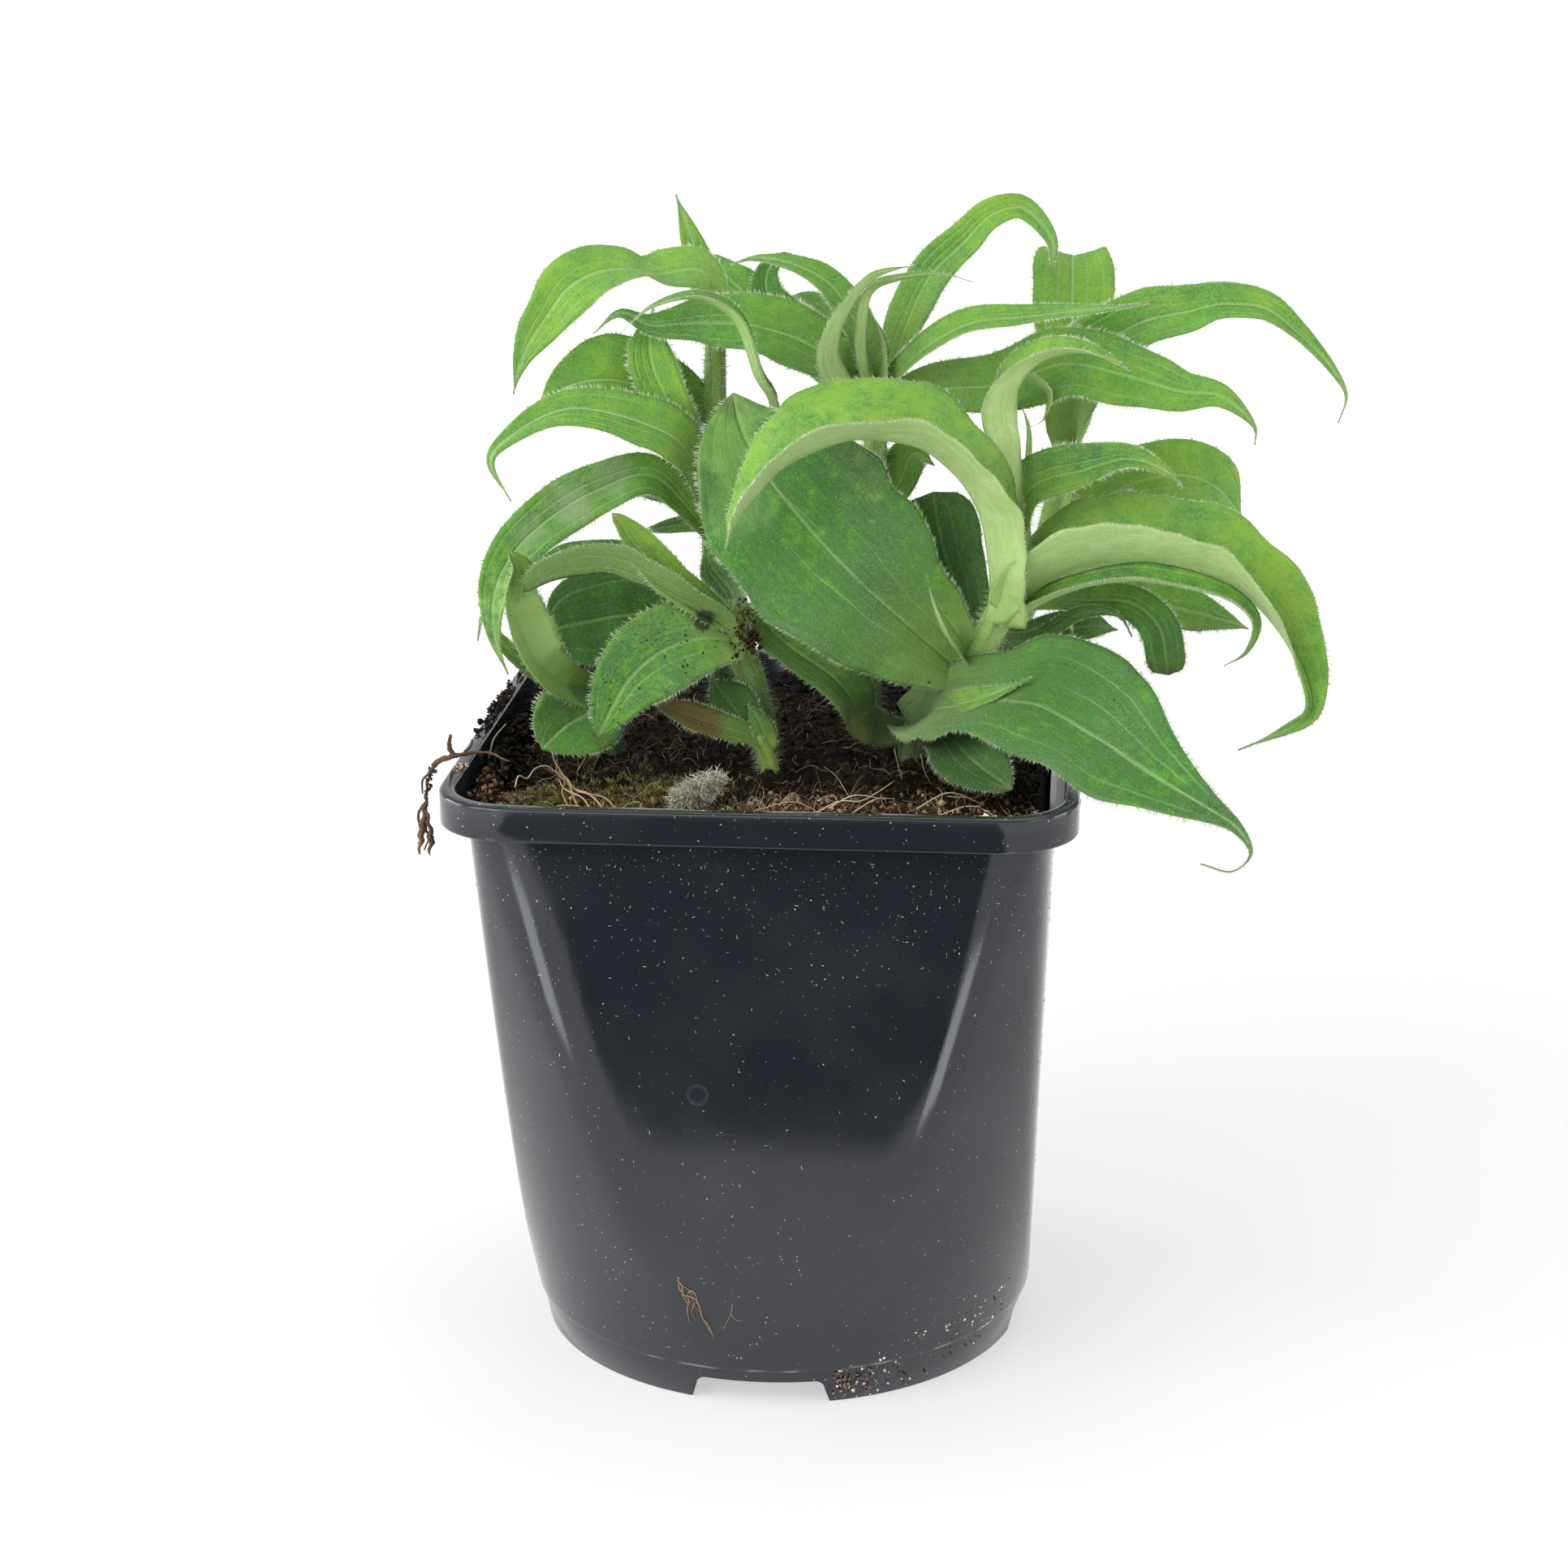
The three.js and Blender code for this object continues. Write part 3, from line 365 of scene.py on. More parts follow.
growth = {
    "shoot_front": shoot("20 3 80.5 2.4, 20.5 3 92 2.5, 27 2 101 2.4, 32 1 110 2.3, 35 3 119 1.9, "
                         "35 4.5 127 1.5", [
        leaf(28, 0.6, 0.25, (-65, -70, -65), 12, 1,
             "28 1 101, 18 -3 111, 11 -5 118, 3 -3 126, -3 0 133, -6 2 139, -7 3 143", taper=0.9),
        leaf(20, 0.6, 0.65, (-15, -10, -10), 40, 0.15,
             "32 0 110, 31 -3 119, 29 -6 129, 22 -9 137, 12 -11 139, 2 -12 135, -5 -12 127, "
             "-7 -12 122"),
        leaf(25, 0.3, 0.5, (10, 10, 15, 50, 70), 46, 0.25,
             "34 0 111, 41 -2 117, 52 -3 119, 62 -4 118, 69 -5 115, 73.5 -6 110, 77 -7 104, "
             "77.5 -9 99.5, 74 -10 97, 67.5 -12 94.5", taper=2),
        leaf(6, 0.6, 0.6, (15, 15, 20), 35, 0.6,
             "31 1 107, 39 -4 114, 49 -7 118, 58 -9 118, 66 -10 116, 69 -11 113, 68 -12 109, "
             "65 -12 107"),
        leaf(25.5, 0.45, 0.35, (40, 25, 20, 45, 45), 14, 1.1,
             "18 1 94, 27 -8 99, 38 -17 102, 47 -23 99, 55 -26 94.5, 62 -28 91, 67 -29 88, "
             "69 -29.5 84.5, 66.5 -30 82, 62 -30 83", taper=3.2),
        leaf(11, 0.45, 0.7, (5, 15, 10), 42, 0.35,
             "35 3 119, 35 3 127, 35 3 136, 34 2 142, 36 0 147, 41 -2 150, 47 -4 150, 51 -5 148"),
        leaf(9, 0.35, 0.55, (60, 60, 45), 30, 0.45,
             "34 3 120, 37 5 129, 44 3 132, 51 2 134, 57 1 132, 59 0 130"),
        leaf(3, 0.5, 0.5, (60, 65, 60), 20, 0.5,
             "35 5 126, 35 6 145, 39 6 143, 39 5 141, 38 4 139, 35 3 138"),
        leaf(2.5, 0.5, 0.55, (70, 70, 70), 20, 0.4, "35 5 124, 36 7 134, 36 7 138, 35 7 141"),
        leaf(5, 0.35, 0.65, (-55, -50, -50), 20, 0.2, "28 1 103, 24 -6 111, 22 -8 119"),
        leaf(4, 0.4, 0.6, (60, 60, 55), 25, 0.25,
             "23 -1 97, 27.5 -8 99.5, 32 -12 102, 38 -14 105.5"),
        leaf(10, 0.7, 0.35, (-55, -65, -55), 25, 0.55,
             "20 3 91.5, 14.5 1.5 92.5, 11.5 0 94.5, 10.5 -1 98, 7 -1 102, 2 0 105, -2.5 1.5 109, "
             "-3.5 2.5 115", taper=1, dim=0.15),
        leaf(6, 0.9, 0.4, (50, 60, 70), 20, 0.8,
             "35 3 112, 44 6 112, 52 4 112, 56 2 109, 57 1 105, 57.5 1 102", taper=0.4, dim=0.25),
        leaf(3, 0.4, 0.6, (45, 40, 40), 25, 0.8,
             "30 2 107, 37 4 106, 45 2 111, 50 1 111, 52 0 108", dim=0.5),
        leaf(6, 0.7, 0.5, (45, 50, 50), 20, 0.9,
             "29 2 104, 39 8 106, 46 10 107, 50 12 106", dim=0.45),
        leaf(14.5, 0.85, 0.4, (-50, -55, -60), 15, 0.9,
             "28 3 101, 26 7 112, 23.5 9 120, 22 11 127", taper=0.5, dim=0.6),
        leaf(10, 0.7, 0.35, (40, 40, 40), 20, 0.95,
             "21 2 93, 26 -8 94, 29 -19 94.5, 33 -27 94, 35.5 -31 93.5", taper=0.8, dim=0.65),
        leaf(3, 0.4, 0.45, (-40, -45, -40), 20, 0.15, "43 8 105, 43 6 107, 41 6 110"),
    ]),
    "shoot_left": shoot("-2 -2 80.5 1.9, -2 -2 91 2, -4 -3 101 2.2, -6 -4 109 2.2, "
                        "-5 -4 113 1.6", [
        leaf(7, 0.6, 0.45, (-55, -65, -60), 30, 0.2,
             "-6 -4 109, -12.5 -8 114.5, -17 -10 119, -21 -11 124.5, -23 -12 128", taper=0.7),
        leaf(11.5, 0.7, 0.4, (-5, 0, 5), 55, 0.8,
             "-6 -5 109, -13 -10 114, -19 -12 117.5, -25 -13 119.5, -31 -14 118.5, -36 -14 116.5",
             taper=0.7, dim=0.5),
        leaf(12.5, 0.5, 0.4, (-55, -60, -65, -55), 12, 0.7,
             "-5 -4 107, -11 -10 109, -16 -14 108, -20 -17 105, -22.5 -18 101, -25 -18 96",
             taper=1),
        leaf(15, 0.75, 0.3, (-60, -65, -65), 15, 1,
             "-6 -3 108, -16 1 110, -24 -1 110, -31 -3 109, -34.5 -4 108", taper=0.7, dim=0.5),
        leaf(6.5, 0.65, 0.4, (-60, -55, -60), 20, 0.9,
             "-5 -3 108, -8 5 113, -11 7 116, -12 7 119", dim=0.6),
    ], dim=0.5),
    "shoot_back_left": shoot("-10 12 80.5 2, -10 12 92 2.1, -11 12 121 2.1, -11 12.5 135 2, "
                             "-11 16 150 1.5", [
        leaf(9, 0.6, 0.5, (-65, -60, -5, -55, -65, -60), 15, 0.3,
             "-11 16 149, -13 14.5 159, -19 11 159, -25 9 160, -31 7 158, -35.5 6 152.5, "
             "-38.5 5 147.5, -40 5 142"),
        leaf(4.5, 0.5, 0.55, (-60, -60, -60), 20, 0.25,
             "-11 16 149, -13 17.5 158, -15 18 164, -17 18 170"),
        leaf(4, 0.6, 0.45, (-20, -20, -20), 45, 0.6,
             "-10 12 126, -2 7.5 140, -4 5.5 145, -7 2.5 154, -12 1 157, -18 0 156, -21 0 154, "
             "-23 0 152"),
        leaf(7.5, 0.7, 0.35, (-60, -65, -60), 20, 0.35,
             "-11 11 126, -17 8 140, -20 9 147, -20 13 154"),
        leaf(13.5, 0.6, 0.5, (-65, -70, -60), 15, 0.38,
             "-11 13 131, -17 12 139, -25 9 143.5, -32 7 143, -37 6 139.5"),
        leaf(8.5, 0.3, 0.55, (-60, -60, -60), 15, 0.4,
             "-11 11 122, -15 4 135, -23 1 139.5, -31 -1 141, -38 -3 138, -42 -4 134, -39 -5 128"),
        leaf(8.5, 0.55, 0.35, (-65, -65, -55), 20, 0.65,
             "-11 11 119, -20 5 130, -27 2 128.5, -34 0 124.5, -39 -2 120, -42 -4 114, "
             "-42 -5 107, -40 -6 102"),
        leaf(7, 0.45, 0.5, (-55, -55, -50), 20, 0.5,
             "-11 12 125, -17 12 127, -23 11 127, -26 11 126", dim=0.5),
        leaf(3, 0.4, 0.5, (-50, -50, -50), 25, 0.8, "-11 12 121, -16 12 121, -23 12 120", dim=0.6),
    ], dim=0.6),
    "shoot_middle": shoot("12 16 80.5 2, 12 16 92 2.1, 12 16 112 2, 13 15 130 1.9, "
                          "13 14.5 143 1.6", [
        leaf(10.5, 0.35, 0.4, (-55, -60, -45), 15, 0.6,
             "13 14 141, 4 13 148, -3 12 151, -12 10.5 152, -20 7 152, -24 6 154, -28 6 151"),
        leaf(6, 0.3, 0.65, (-55, -50, -40), 20, 0.5,
             "13 15 142, 10 16 151, 6 16 157, 1 15 160, -5 15 161, -9 14 160"),
        leaf(9, 0.35, 0.4, (55, 55, 50), 30, 0.35,
             "13 14 138, 8 6 149, 10 5 155, 14 4 160, 20 3 162"),
        leaf(4, 0.3, 0.6, (20, 20, 20), 45, 0.45,
             "13 14 140, 12 10 150, 13 9 157, 17 8 159, 23 7 160, 28 6 159"),
        leaf(7, 0.35, 0.45, (60, 70, 55), 25, 0.3,
             "14 15 139, 18 18 152, 21 19 158, 26 20 163, 30 20 167, 34 20 168, 37 19 166, "
             "39 18 163, 39 17 159", taper=1),
        leaf(5, 0.4, 0.5, (-55, -55, -50), 20, 0.4, "14 14 140, 14 11 150, 12 11 155", dim=0.3),
        leaf(5, 0.4, 0.6, (50, 50, 40), 30, 0.45,
             "13 14 140, 21 8 149, 28 6 153, 35 5 154, 42 4 155, 49 3 156, 54 2 157",
             dry=1, dryFrom=0.9),
        leaf(11, 0.5, 0.5, (60, 60, 50), 12, 0.45,
             "13 14 138, 22 12 142, 32 12 143, 41 10 146.5, 50 7 145.5, 58 5 143.5, 64 4 143, "
             "69 4 138.5, 69 4 136"),
        leaf(5.5, 0.65, 0.5, (-55, -55, -55), 20, 0.75,
             "12 16 139, 1 24 150, -4 25 154, -4 26 158, -1 26 160, 1 26 159"),
        leaf(7, 0.7, 0.35, (-60, -60, -60), 12, 0.6,
             "12 16 138, -3 28 150, -10 31 155, -14 33 158, -17 35 157"),
        leaf(5, 0.7, 0.5, (-60, -60, -60), 12, 0.6, "12 17 139, 5 28 150, 1 31 152, -3 34 152"),
        leaf(7.5, 0.65, 0.45, (45, 50, 50), 15, 0.2,
             "13 15 121, 17 14 128, 19 15 132, 22 16 130", dim=0.45),
    ]),
    "shoot_right": shoot("28 18 80.5 1.9, 28 18 91 2, 32 18 100 2, 37 19 111 2, 40 19 122 2, "
                         "42 18.5 133 1.8", [
        leaf(10.5, 0.2, 0.6, (70, 75, 60, 40, 40), 25, 0.5,
             "42 18 131, 43 18 139, 45 17 146.5, 52 14 152, 58 11 154, 64 10 155.5, 70 9 155, "
             "75 8 151.5, 80 7 146.5, 82 6 143, 81 6 139"),
        leaf(13, 0.7, 0.25, (0, 0, 0), 15, 0.2,
             "42 19 131, 42 26 146, 42 29 154, 42 34 159, 43 41 156"),
        leaf(11.5, 0.7, 0.3, (50, 60, 55), 15, 0.4,
             "39 19 118, 49 22 125, 57 23 127.5, 63.5 25 126, 69 28 119.5"),
        leaf(6.5, 0.7, 0.3, (50, 55, 55), 15, 0.45,
             "37 19 110, 53 19 109, 61 20 107, 68 21 105, 70 22 104"),
    ]),
    "shoot_low_left": shoot("-26 3 80.5 1.5, -26 3 91 1.5, -26 2 95 1.4", [
        leaf(9.5, 0.75, 0.4, (-55, -75, -70), 30, 0,
             "-26 2 95, -30.5 -6 100, -34.5 -10 104.5, -37 -11 110, -38 -12 115.5, -37.5 -11 119, "
             "-38.5 -11 122", taper=0.8),
        leaf(12, 0.7, 0.45, (-50, -45, -40), 12, 0.75,
             "-26 3 95, -27.5 -6 96.5, -31 -12 95.5, -33.5 -16 93.5", taper=0.7),
        leaf(3, 0.5, 0.5, (-50, -50, -50), 20, 0.4,
             "-26 3 93, -38 4 100, -43 3 105, -45 2 109, -46 2 105"),
    ]),
    "shoot_low_front": shoot("-1 -8 80.5 1.5, -1 -8 89.5 1.5, -3 -8 94 1.2", [
        leaf(5, 0.6, 0.6, (-45, -45, -45), 15, 0.3,
             "-2 -8 93.5, -7 -12 96, -12 -13 98, -17.5 -14 100.5",
             taper=1.1, dry=0.85, dryFrom=0.35, dim=0.6),
        leaf(7, 0.5, 0.45, (-55, -55, -50), 15, 0.9,
             "-3 -8 94, -6 -8 98, -9.5 -7 102", taper=1, dim=0.95),
        leaf(4, 0.4, 0.6, (-55, -55, -55), 15, 0.5, "-1 -8 91, -2 -8 95, -4 -8 99", dim=0.5),
    ], dim=0.6),
}
oldShoots = ("shoot_front", "shoot_left")
leafLook = {
    "station": 0.9, "column": 0.85, "thickness": 0.34, "tip": 0.12, "rippleHeight": 0.035,
    "rippleLength": 16, "flatBelow": 1.6, "channelRound": 1.2, "claspReach": 0.13,
    "claspOut": 1.8, "claspLift": 62, "pleat": 0.03, "frill": 0.04, "frillEvery": 6,
    "wander": 0.06, "wanderEvery": 10, "blister": 0.2, "blisterEvery": 7, "smallLeaf": 5,
    "steadyBelow": 3, "thinBelow": 0.8, "thinEdge": 0.6, "paleReach": (0.1, 2), "dryFade": 9,
    "stemSides": 20, "stemStep": 0.9, "stemRidges": 3, "stemPale": 0.75, "stemAge": 0.7,
    "veins": 3,
}
hairLook = {
    "edgeEvery": 0.12, "edgeLength": (0.4, 1.15), "edgeWidth": 0.05, "edgeRange": (0.04, 0.985),
    "edgeLean": 0.45, "edgeSway": (0.35, 0.2), "edgeShortBelow": 2.5, "edgeShortest": 0.45,
    "faceEvery": 0.66, "faceLength": (0.2, 0.55),
    "faceWidth": 0.026, "faceLean": 0.5, "faceSway": 0.3, "faceOnYoung": 0.35,
    "stemEvery": 0.09, "stemLength": (0.6, 1.7), "stemWidth": 0.048, "stemSway": 0.4,
}


def outline(t, widest, neck, taper):
    rise = neck + (1 - neck) * np.sin(math.pi / 2 * np.minimum(t / widest, 1))
    u = np.clip((t - widest) / (1 - widest), 0, 1)
    return np.where(t < widest, rise, (1 - u) ** taper * (1 + taper * u))


def makeBlade(leaf, number, seed):
    # the two faces of one leaf as grids of points, with what the shader and the hairs need
    look, path = leafLook, leaf["path"]
    length = smoothPath(path, 2)[2]
    rows = max(14, round(length / look["station"])) + 1
    columns = 2 * max(3, round(leaf["width"] / 2 / look["column"])) + 1
    line, tangents, _ = smoothPath(path, rows)
    across = carryAcross(line, tangents)
    t, v = np.linspace(0, 1, rows), np.linspace(-1, 1, columns)
    roll = np.radians(valueAlong(leaf["roll"], t))[:, None]
    side = across * np.cos(roll) + np.cross(tangents, across) * np.sin(roll)
    up = np.cross(tangents, side)
    shape = outline(t, leaf["widest"], leaf["neck"], leaf["taper"])
    half = np.maximum(look["tip"], leaf["width"] / 2 * shape)[:, None]
    # the base clasps the stem, the blade is folded along its midrib
    clasp = np.clip(1 - t / look["claspReach"], 0, 1)[:, None] ** 2
    fold = leaf["fold"] + clasp * (look["claspLift"] - leaf["fold"])
    lift = np.radians(fold) * np.minimum(1, half / look["flatBelow"])
    along = (t * length)[:, None]
    ripple = look["rippleHeight"] * half * np.sin(fullTurn * along / look["rippleLength"] + number)
    rise = np.abs(v) ** look["channelRound"] * half * np.sin(lift) + v * v * ripple
    steady = (1 - clasp) * np.minimum(1, half / look["steadyBelow"])
    margin = [waves(along, 0, look["wanderEvery"], seed + k) for k in (0, 50)]
    wander = 1 + look["wander"] * steady * np.where(v < 0, *margin)
    if leaf["width"] > look["smallLeaf"]:
        frill = waves(along, 20 * np.sign(v), look["frillEvery"], seed + 7)
        rise = rise + steady * look["frill"] * half * v ** 4 * frill
        rise = rise - steady * look["pleat"] * np.cos(fullTurn * v * look["veins"])
        swell = (1 - v * v) * waves(along, v * half, look["blisterEvery"], seed + 9)
        rise = rise + steady * look["blister"] * (swell * (0.4 + 0.6 * leaf["age"]))
    centre = line - up * clasp * look["claspOut"]
    surface = (centre[:, None] + side[:, None] * (v * wander * half * np.cos(lift))[..., None]
               + up[:, None] * rise[..., None])
    face = up[:, None] * np.cos(lift * v)[..., None] - side[:, None] * np.sin(lift * v)[..., None]
    thick = look["thickness"] * (1 - look["thinEdge"] * v * v)
    thick = thick * np.minimum(1, half / look["thinBelow"])
    shift = face * thick[..., None] / 2
    return {"upper": surface + shift, "lower": surface - shift, "face": face, "side": side, "v": v,
            "half": half, "along": along, "tangents": tangents, "length": length}


def addBlade(heap, leaf, blade, number):
    along, length, grid = blade["along"], blade["length"], blade["upper"].shape[:2]
    share, least = leafLook["paleReach"]
    dry = np.clip((along / length - leaf["dryFrom"]) * leafLook["dryFade"], 0, 1)
    values = {"across": blade["v"], "half": blade["half"], "along": along,
              "pale": np.exp(-along / (share * length + least)), "dry": dry * leaf["dry"]}
    both = {key: np.tile(np.broadcast_to(k, grid).ravel(), 2) for key, k in values.items()}
    heap.add(np.stack([blade["upper"], blade["lower"]]), slabFaces(*grid), **both, under=[0, 1],
             age=leaf["age"], dim=leaf["dim"], number=number)


def hairsOnBlade(hairs, leaf, blade, chance):
    look, half, length = hairLook, blade["half"], blade["length"]
    rows, columns = blade["upper"].shape[:2]
    middle = (blade["upper"] + blade["lower"]) / 2
    # along both margins
    count = int(2 * length / look["edgeEvery"])
    at = chance.uniform(*look["edgeRange"], count) * (rows - 1)
    low = at.astype(int)
    part = (at - low)[:, None]
    left = chance.random(count) < 0.5
    column = np.where(left, 0, columns - 1)
    pick = lambda grid: grid[low, column] * (1 - part) + grid[low + 1, column] * part
    outward = blade["side"][low] * np.where(left, -1, 1)[:, None]
    upDown, anyWay = look["edgeSway"]
    lean = (outward + blade["tangents"][low] * look["edgeLean"] + pick(blade["face"])
            * chance.normal(0, upDown, count)[:, None] + chance.normal(0, anyWay, (count, 3)))
    size = np.clip(half[low, 0] / look["edgeShortBelow"], look["edgeShortest"], 1)
    hairs.add(*spikes(pick(middle) - outward * 0.05, lean,
                      chance.uniform(*look["edgeLength"], count) * size, look["edgeWidth"]))
    # over both faces
    area = float((half * 2).mean() * length)
    count = int(area / look["faceEvery"] * (look["faceOnYoung"] + leaf["age"]))
    share = half[:-1, 0] / half[:-1, 0].sum()
    for grid, sign in ((blade["upper"], 1), (blade["lower"], -1)):
        row, col = chance.choice(rows - 1, count, p=share), chance.integers(0, columns - 1, count)
        down, over = chance.random((2, count, 1))
        root = ((grid[row, col] * (1 - over) + grid[row, col + 1] * over) * (1 - down)
                + (grid[row + 1, col] * (1 - over) + grid[row + 1, col + 1] * over) * down)
        lean = (blade["face"][row, col] * sign + blade["tangents"][row] * look["faceLean"]
                + chance.normal(0, look["faceSway"], (count, 3)))
        hairs.add(*spikes(root, lean, chance.uniform(*look["faceLength"], count),
                          look["faceWidth"]))


def makeStem(heap, hairs, stem, age, dim, number, chance):
    look, sides = leafLook, leafLook["stemSides"]
    path, radii = [spot[:3] for spot in stem], [spot[3] for spot in stem]
    length = smoothPath(path, 2)[2]
    count = round(length / look["stemStep"])
    points, faces = tube(path, radii, count, sides)
    ring = np.append(np.tile(np.arange(sides), count), [0, 0])
    along = np.append(np.repeat(np.linspace(0, length, count), sides), [0, length])
    heap.add(points, faces, across=np.sin(ring / sides * fullTurn * look["stemRidges"]) * 0.9,
             half=2, along=along, pale=look["stemPale"], dry=0, under=0, age=age, dim=dim,
             number=number)
    # hairs stand out all round the stem
    total = int(length * math.pi / look["stemStep"] / hairLook["stemEvery"])
    row, side = chance.integers(0, count, total), chance.integers(0, sides, total)
    root = points[row * sides + side]
    away = unit(root - smoothPath(path, count)[0][row])
    slip = chance.normal(0, hairLook["stemSway"], (total, 3))
    hairs.add(*spikes(root + slip * 0.3 - away * 0.1, away + slip,
                      chance.uniform(*hairLook["stemLength"], total), hairLook["stemWidth"]))


leafTones = {
    "ages": [(0, (0.17, 0.345, 0.03)), (0.35, (0.11, 0.285, 0.03)), (0.7, (0.064, 0.224, 0.02)),
             (1, (0.037, 0.152, 0.018))],
    "veinTint": (0.36, 0.54, 0.22), "blotch": (0.02, 0.05, 0.015), "warm": (0.26, 0.35, 0.02),
    "down": (0.32, 0.45, 0.27), "below": (0.48, 0.62, 0.28), "belowDark": (0.38, 0.53, 0.2),
    "belowOld": (0.16, 0.33, 0.075), "paleBase": (0.4, 0.57, 0.17),
    "patchy": 1.4, "mottle": 2.3, "streaky": 0.3, "grainy": 1.1, "cloudScale": 0.075,
    "mottleScale": 0.42, "streakScale": 1.7, "grainScale": 2.6, "downScale": 8.0,
    # how far from its middle, in mm or in shares of a lane, each line fades and is full
    "vein": (0.26, 0.06), "line": (0.3, 0.05), "midrib": (0.5, 0.08), "rim": (0.14, 0.03),
    "veinShown": (0.42, 0.62), "veinWander": 0.9, "warmPlaces": (0.5, 0.68),
    "darkPlaces": (1.04, 1.3), "downPlaces": (0.85, 1.25), "innerShadeStrength": 0.85,
    "rough": 0.42, "sheen": 0.04, "sheenTint": (0.9, 1.0, 0.85),
    "gloss": 0.32, "relief": 0.3, "pitShadeAndSpots": (0.018, 0.02, 0.01), "shaded": (0.28, 0.36, 0.22),
    # painted shade: the dark green deep inside the plant, and the heights and depths where it
    # falls
    "inner": (0.018, 0.034, 0.009), "innerShadeHeights": (110, 94), "innerShadeDepths": (-9, -2),
    "edging": [(0.35, (0.34, 0.44, 0.18)), (0.5, (0.2, 0.24, 0.08)), (0.62, (0.1, 0.06, 0.04))],
    "withered": [(0, (0.15, 0.04, 0.02)), (0.5, (0.17, 0.08, 0.03)), (1, (0.33, 0.25, 0.08))],
    # a torn hollow, its dark inside painted as shade, and a few brown spots: the middle in mm, the
    # size and how dark
    "marks": [((-10.2, -9, 111.6), 2.1, 0.9), ((-4.4, -1, 117), 0.45, 0.7),
              ((-3.2, -1, 117.3), 0.4, 0.7), ((12.3, -2, 123.6), 1.0, 0.35)],
    # soft areas: the broad leaf's pale left side and base, a darker one and a stub by the soil;
    # the last is painted light on the arched leaf's underside, which lies in shade
    "patchesAndPaintedLight": [((-7, -1, 137), 9, 0.6, (0.2, 0.37, 0.085)),
                ((-6, -2, 127), 8, 0.5, (0.18, 0.34, 0.08)),
                ((22, -1, 107), 9, 0.45, (0.15, 0.3, 0.04)),
                ((41, -15, 104), 9, 0.4, (0.03, 0.1, 0.016)),
                ((10.5, -0.5, 93.5), 4, 0.45, (0.3, 0.33, 0.1)),
                ((12, -10, 134), 10, 0.5, (0.34, 0.54, 0.13))],
}
# young leaves: grey down and painted sheen on an arched one, painted light on the low upright
# one, which stands in shade, and a yellow stub
youngTones = {
    **leafTones, "patchy": 1.1, "mottle": 1.3, "gloss": 0.28,
    "patchesAndPaintedLight": [((-25, 3, 130), 4.5, 0.4, (0.26, 0.32, 0.2)),
                ((-31, 1, 126.5), 5, 0.45, (0.27, 0.32, 0.21)),
                ((-37, 0, 122), 4.5, 0.45, (0.25, 0.32, 0.18)),
                ((-36, -10, 109), 12, 0.75, (0.36, 0.55, 0.19)),
                ((-1, -9, 91.5), 3.5, 0.7, (0.3, 0.42, 0.06))],
}
hairTones = {"white": (0.74, 0.8, 0.66), "greenish": (0.45, 0.58, 0.3), "low": (0.2, 0.33, 0.12),
             # the last colour is painted shade on hairs deep inside the plant
             "lowHeights": (128, 104), "inner": (0.03, 0.05, 0.016)}


def paintedInnerShade(s, spot):
    # painted shade: foliage low down and deep inside the plant is darkened, where the leaves above
    # shade it
    return (s.ease(s.split(spot, 2), *leafTones["innerShadeHeights"])
            * s.ease(s.split(spot, 1), *leafTones["innerShadeDepths"]))


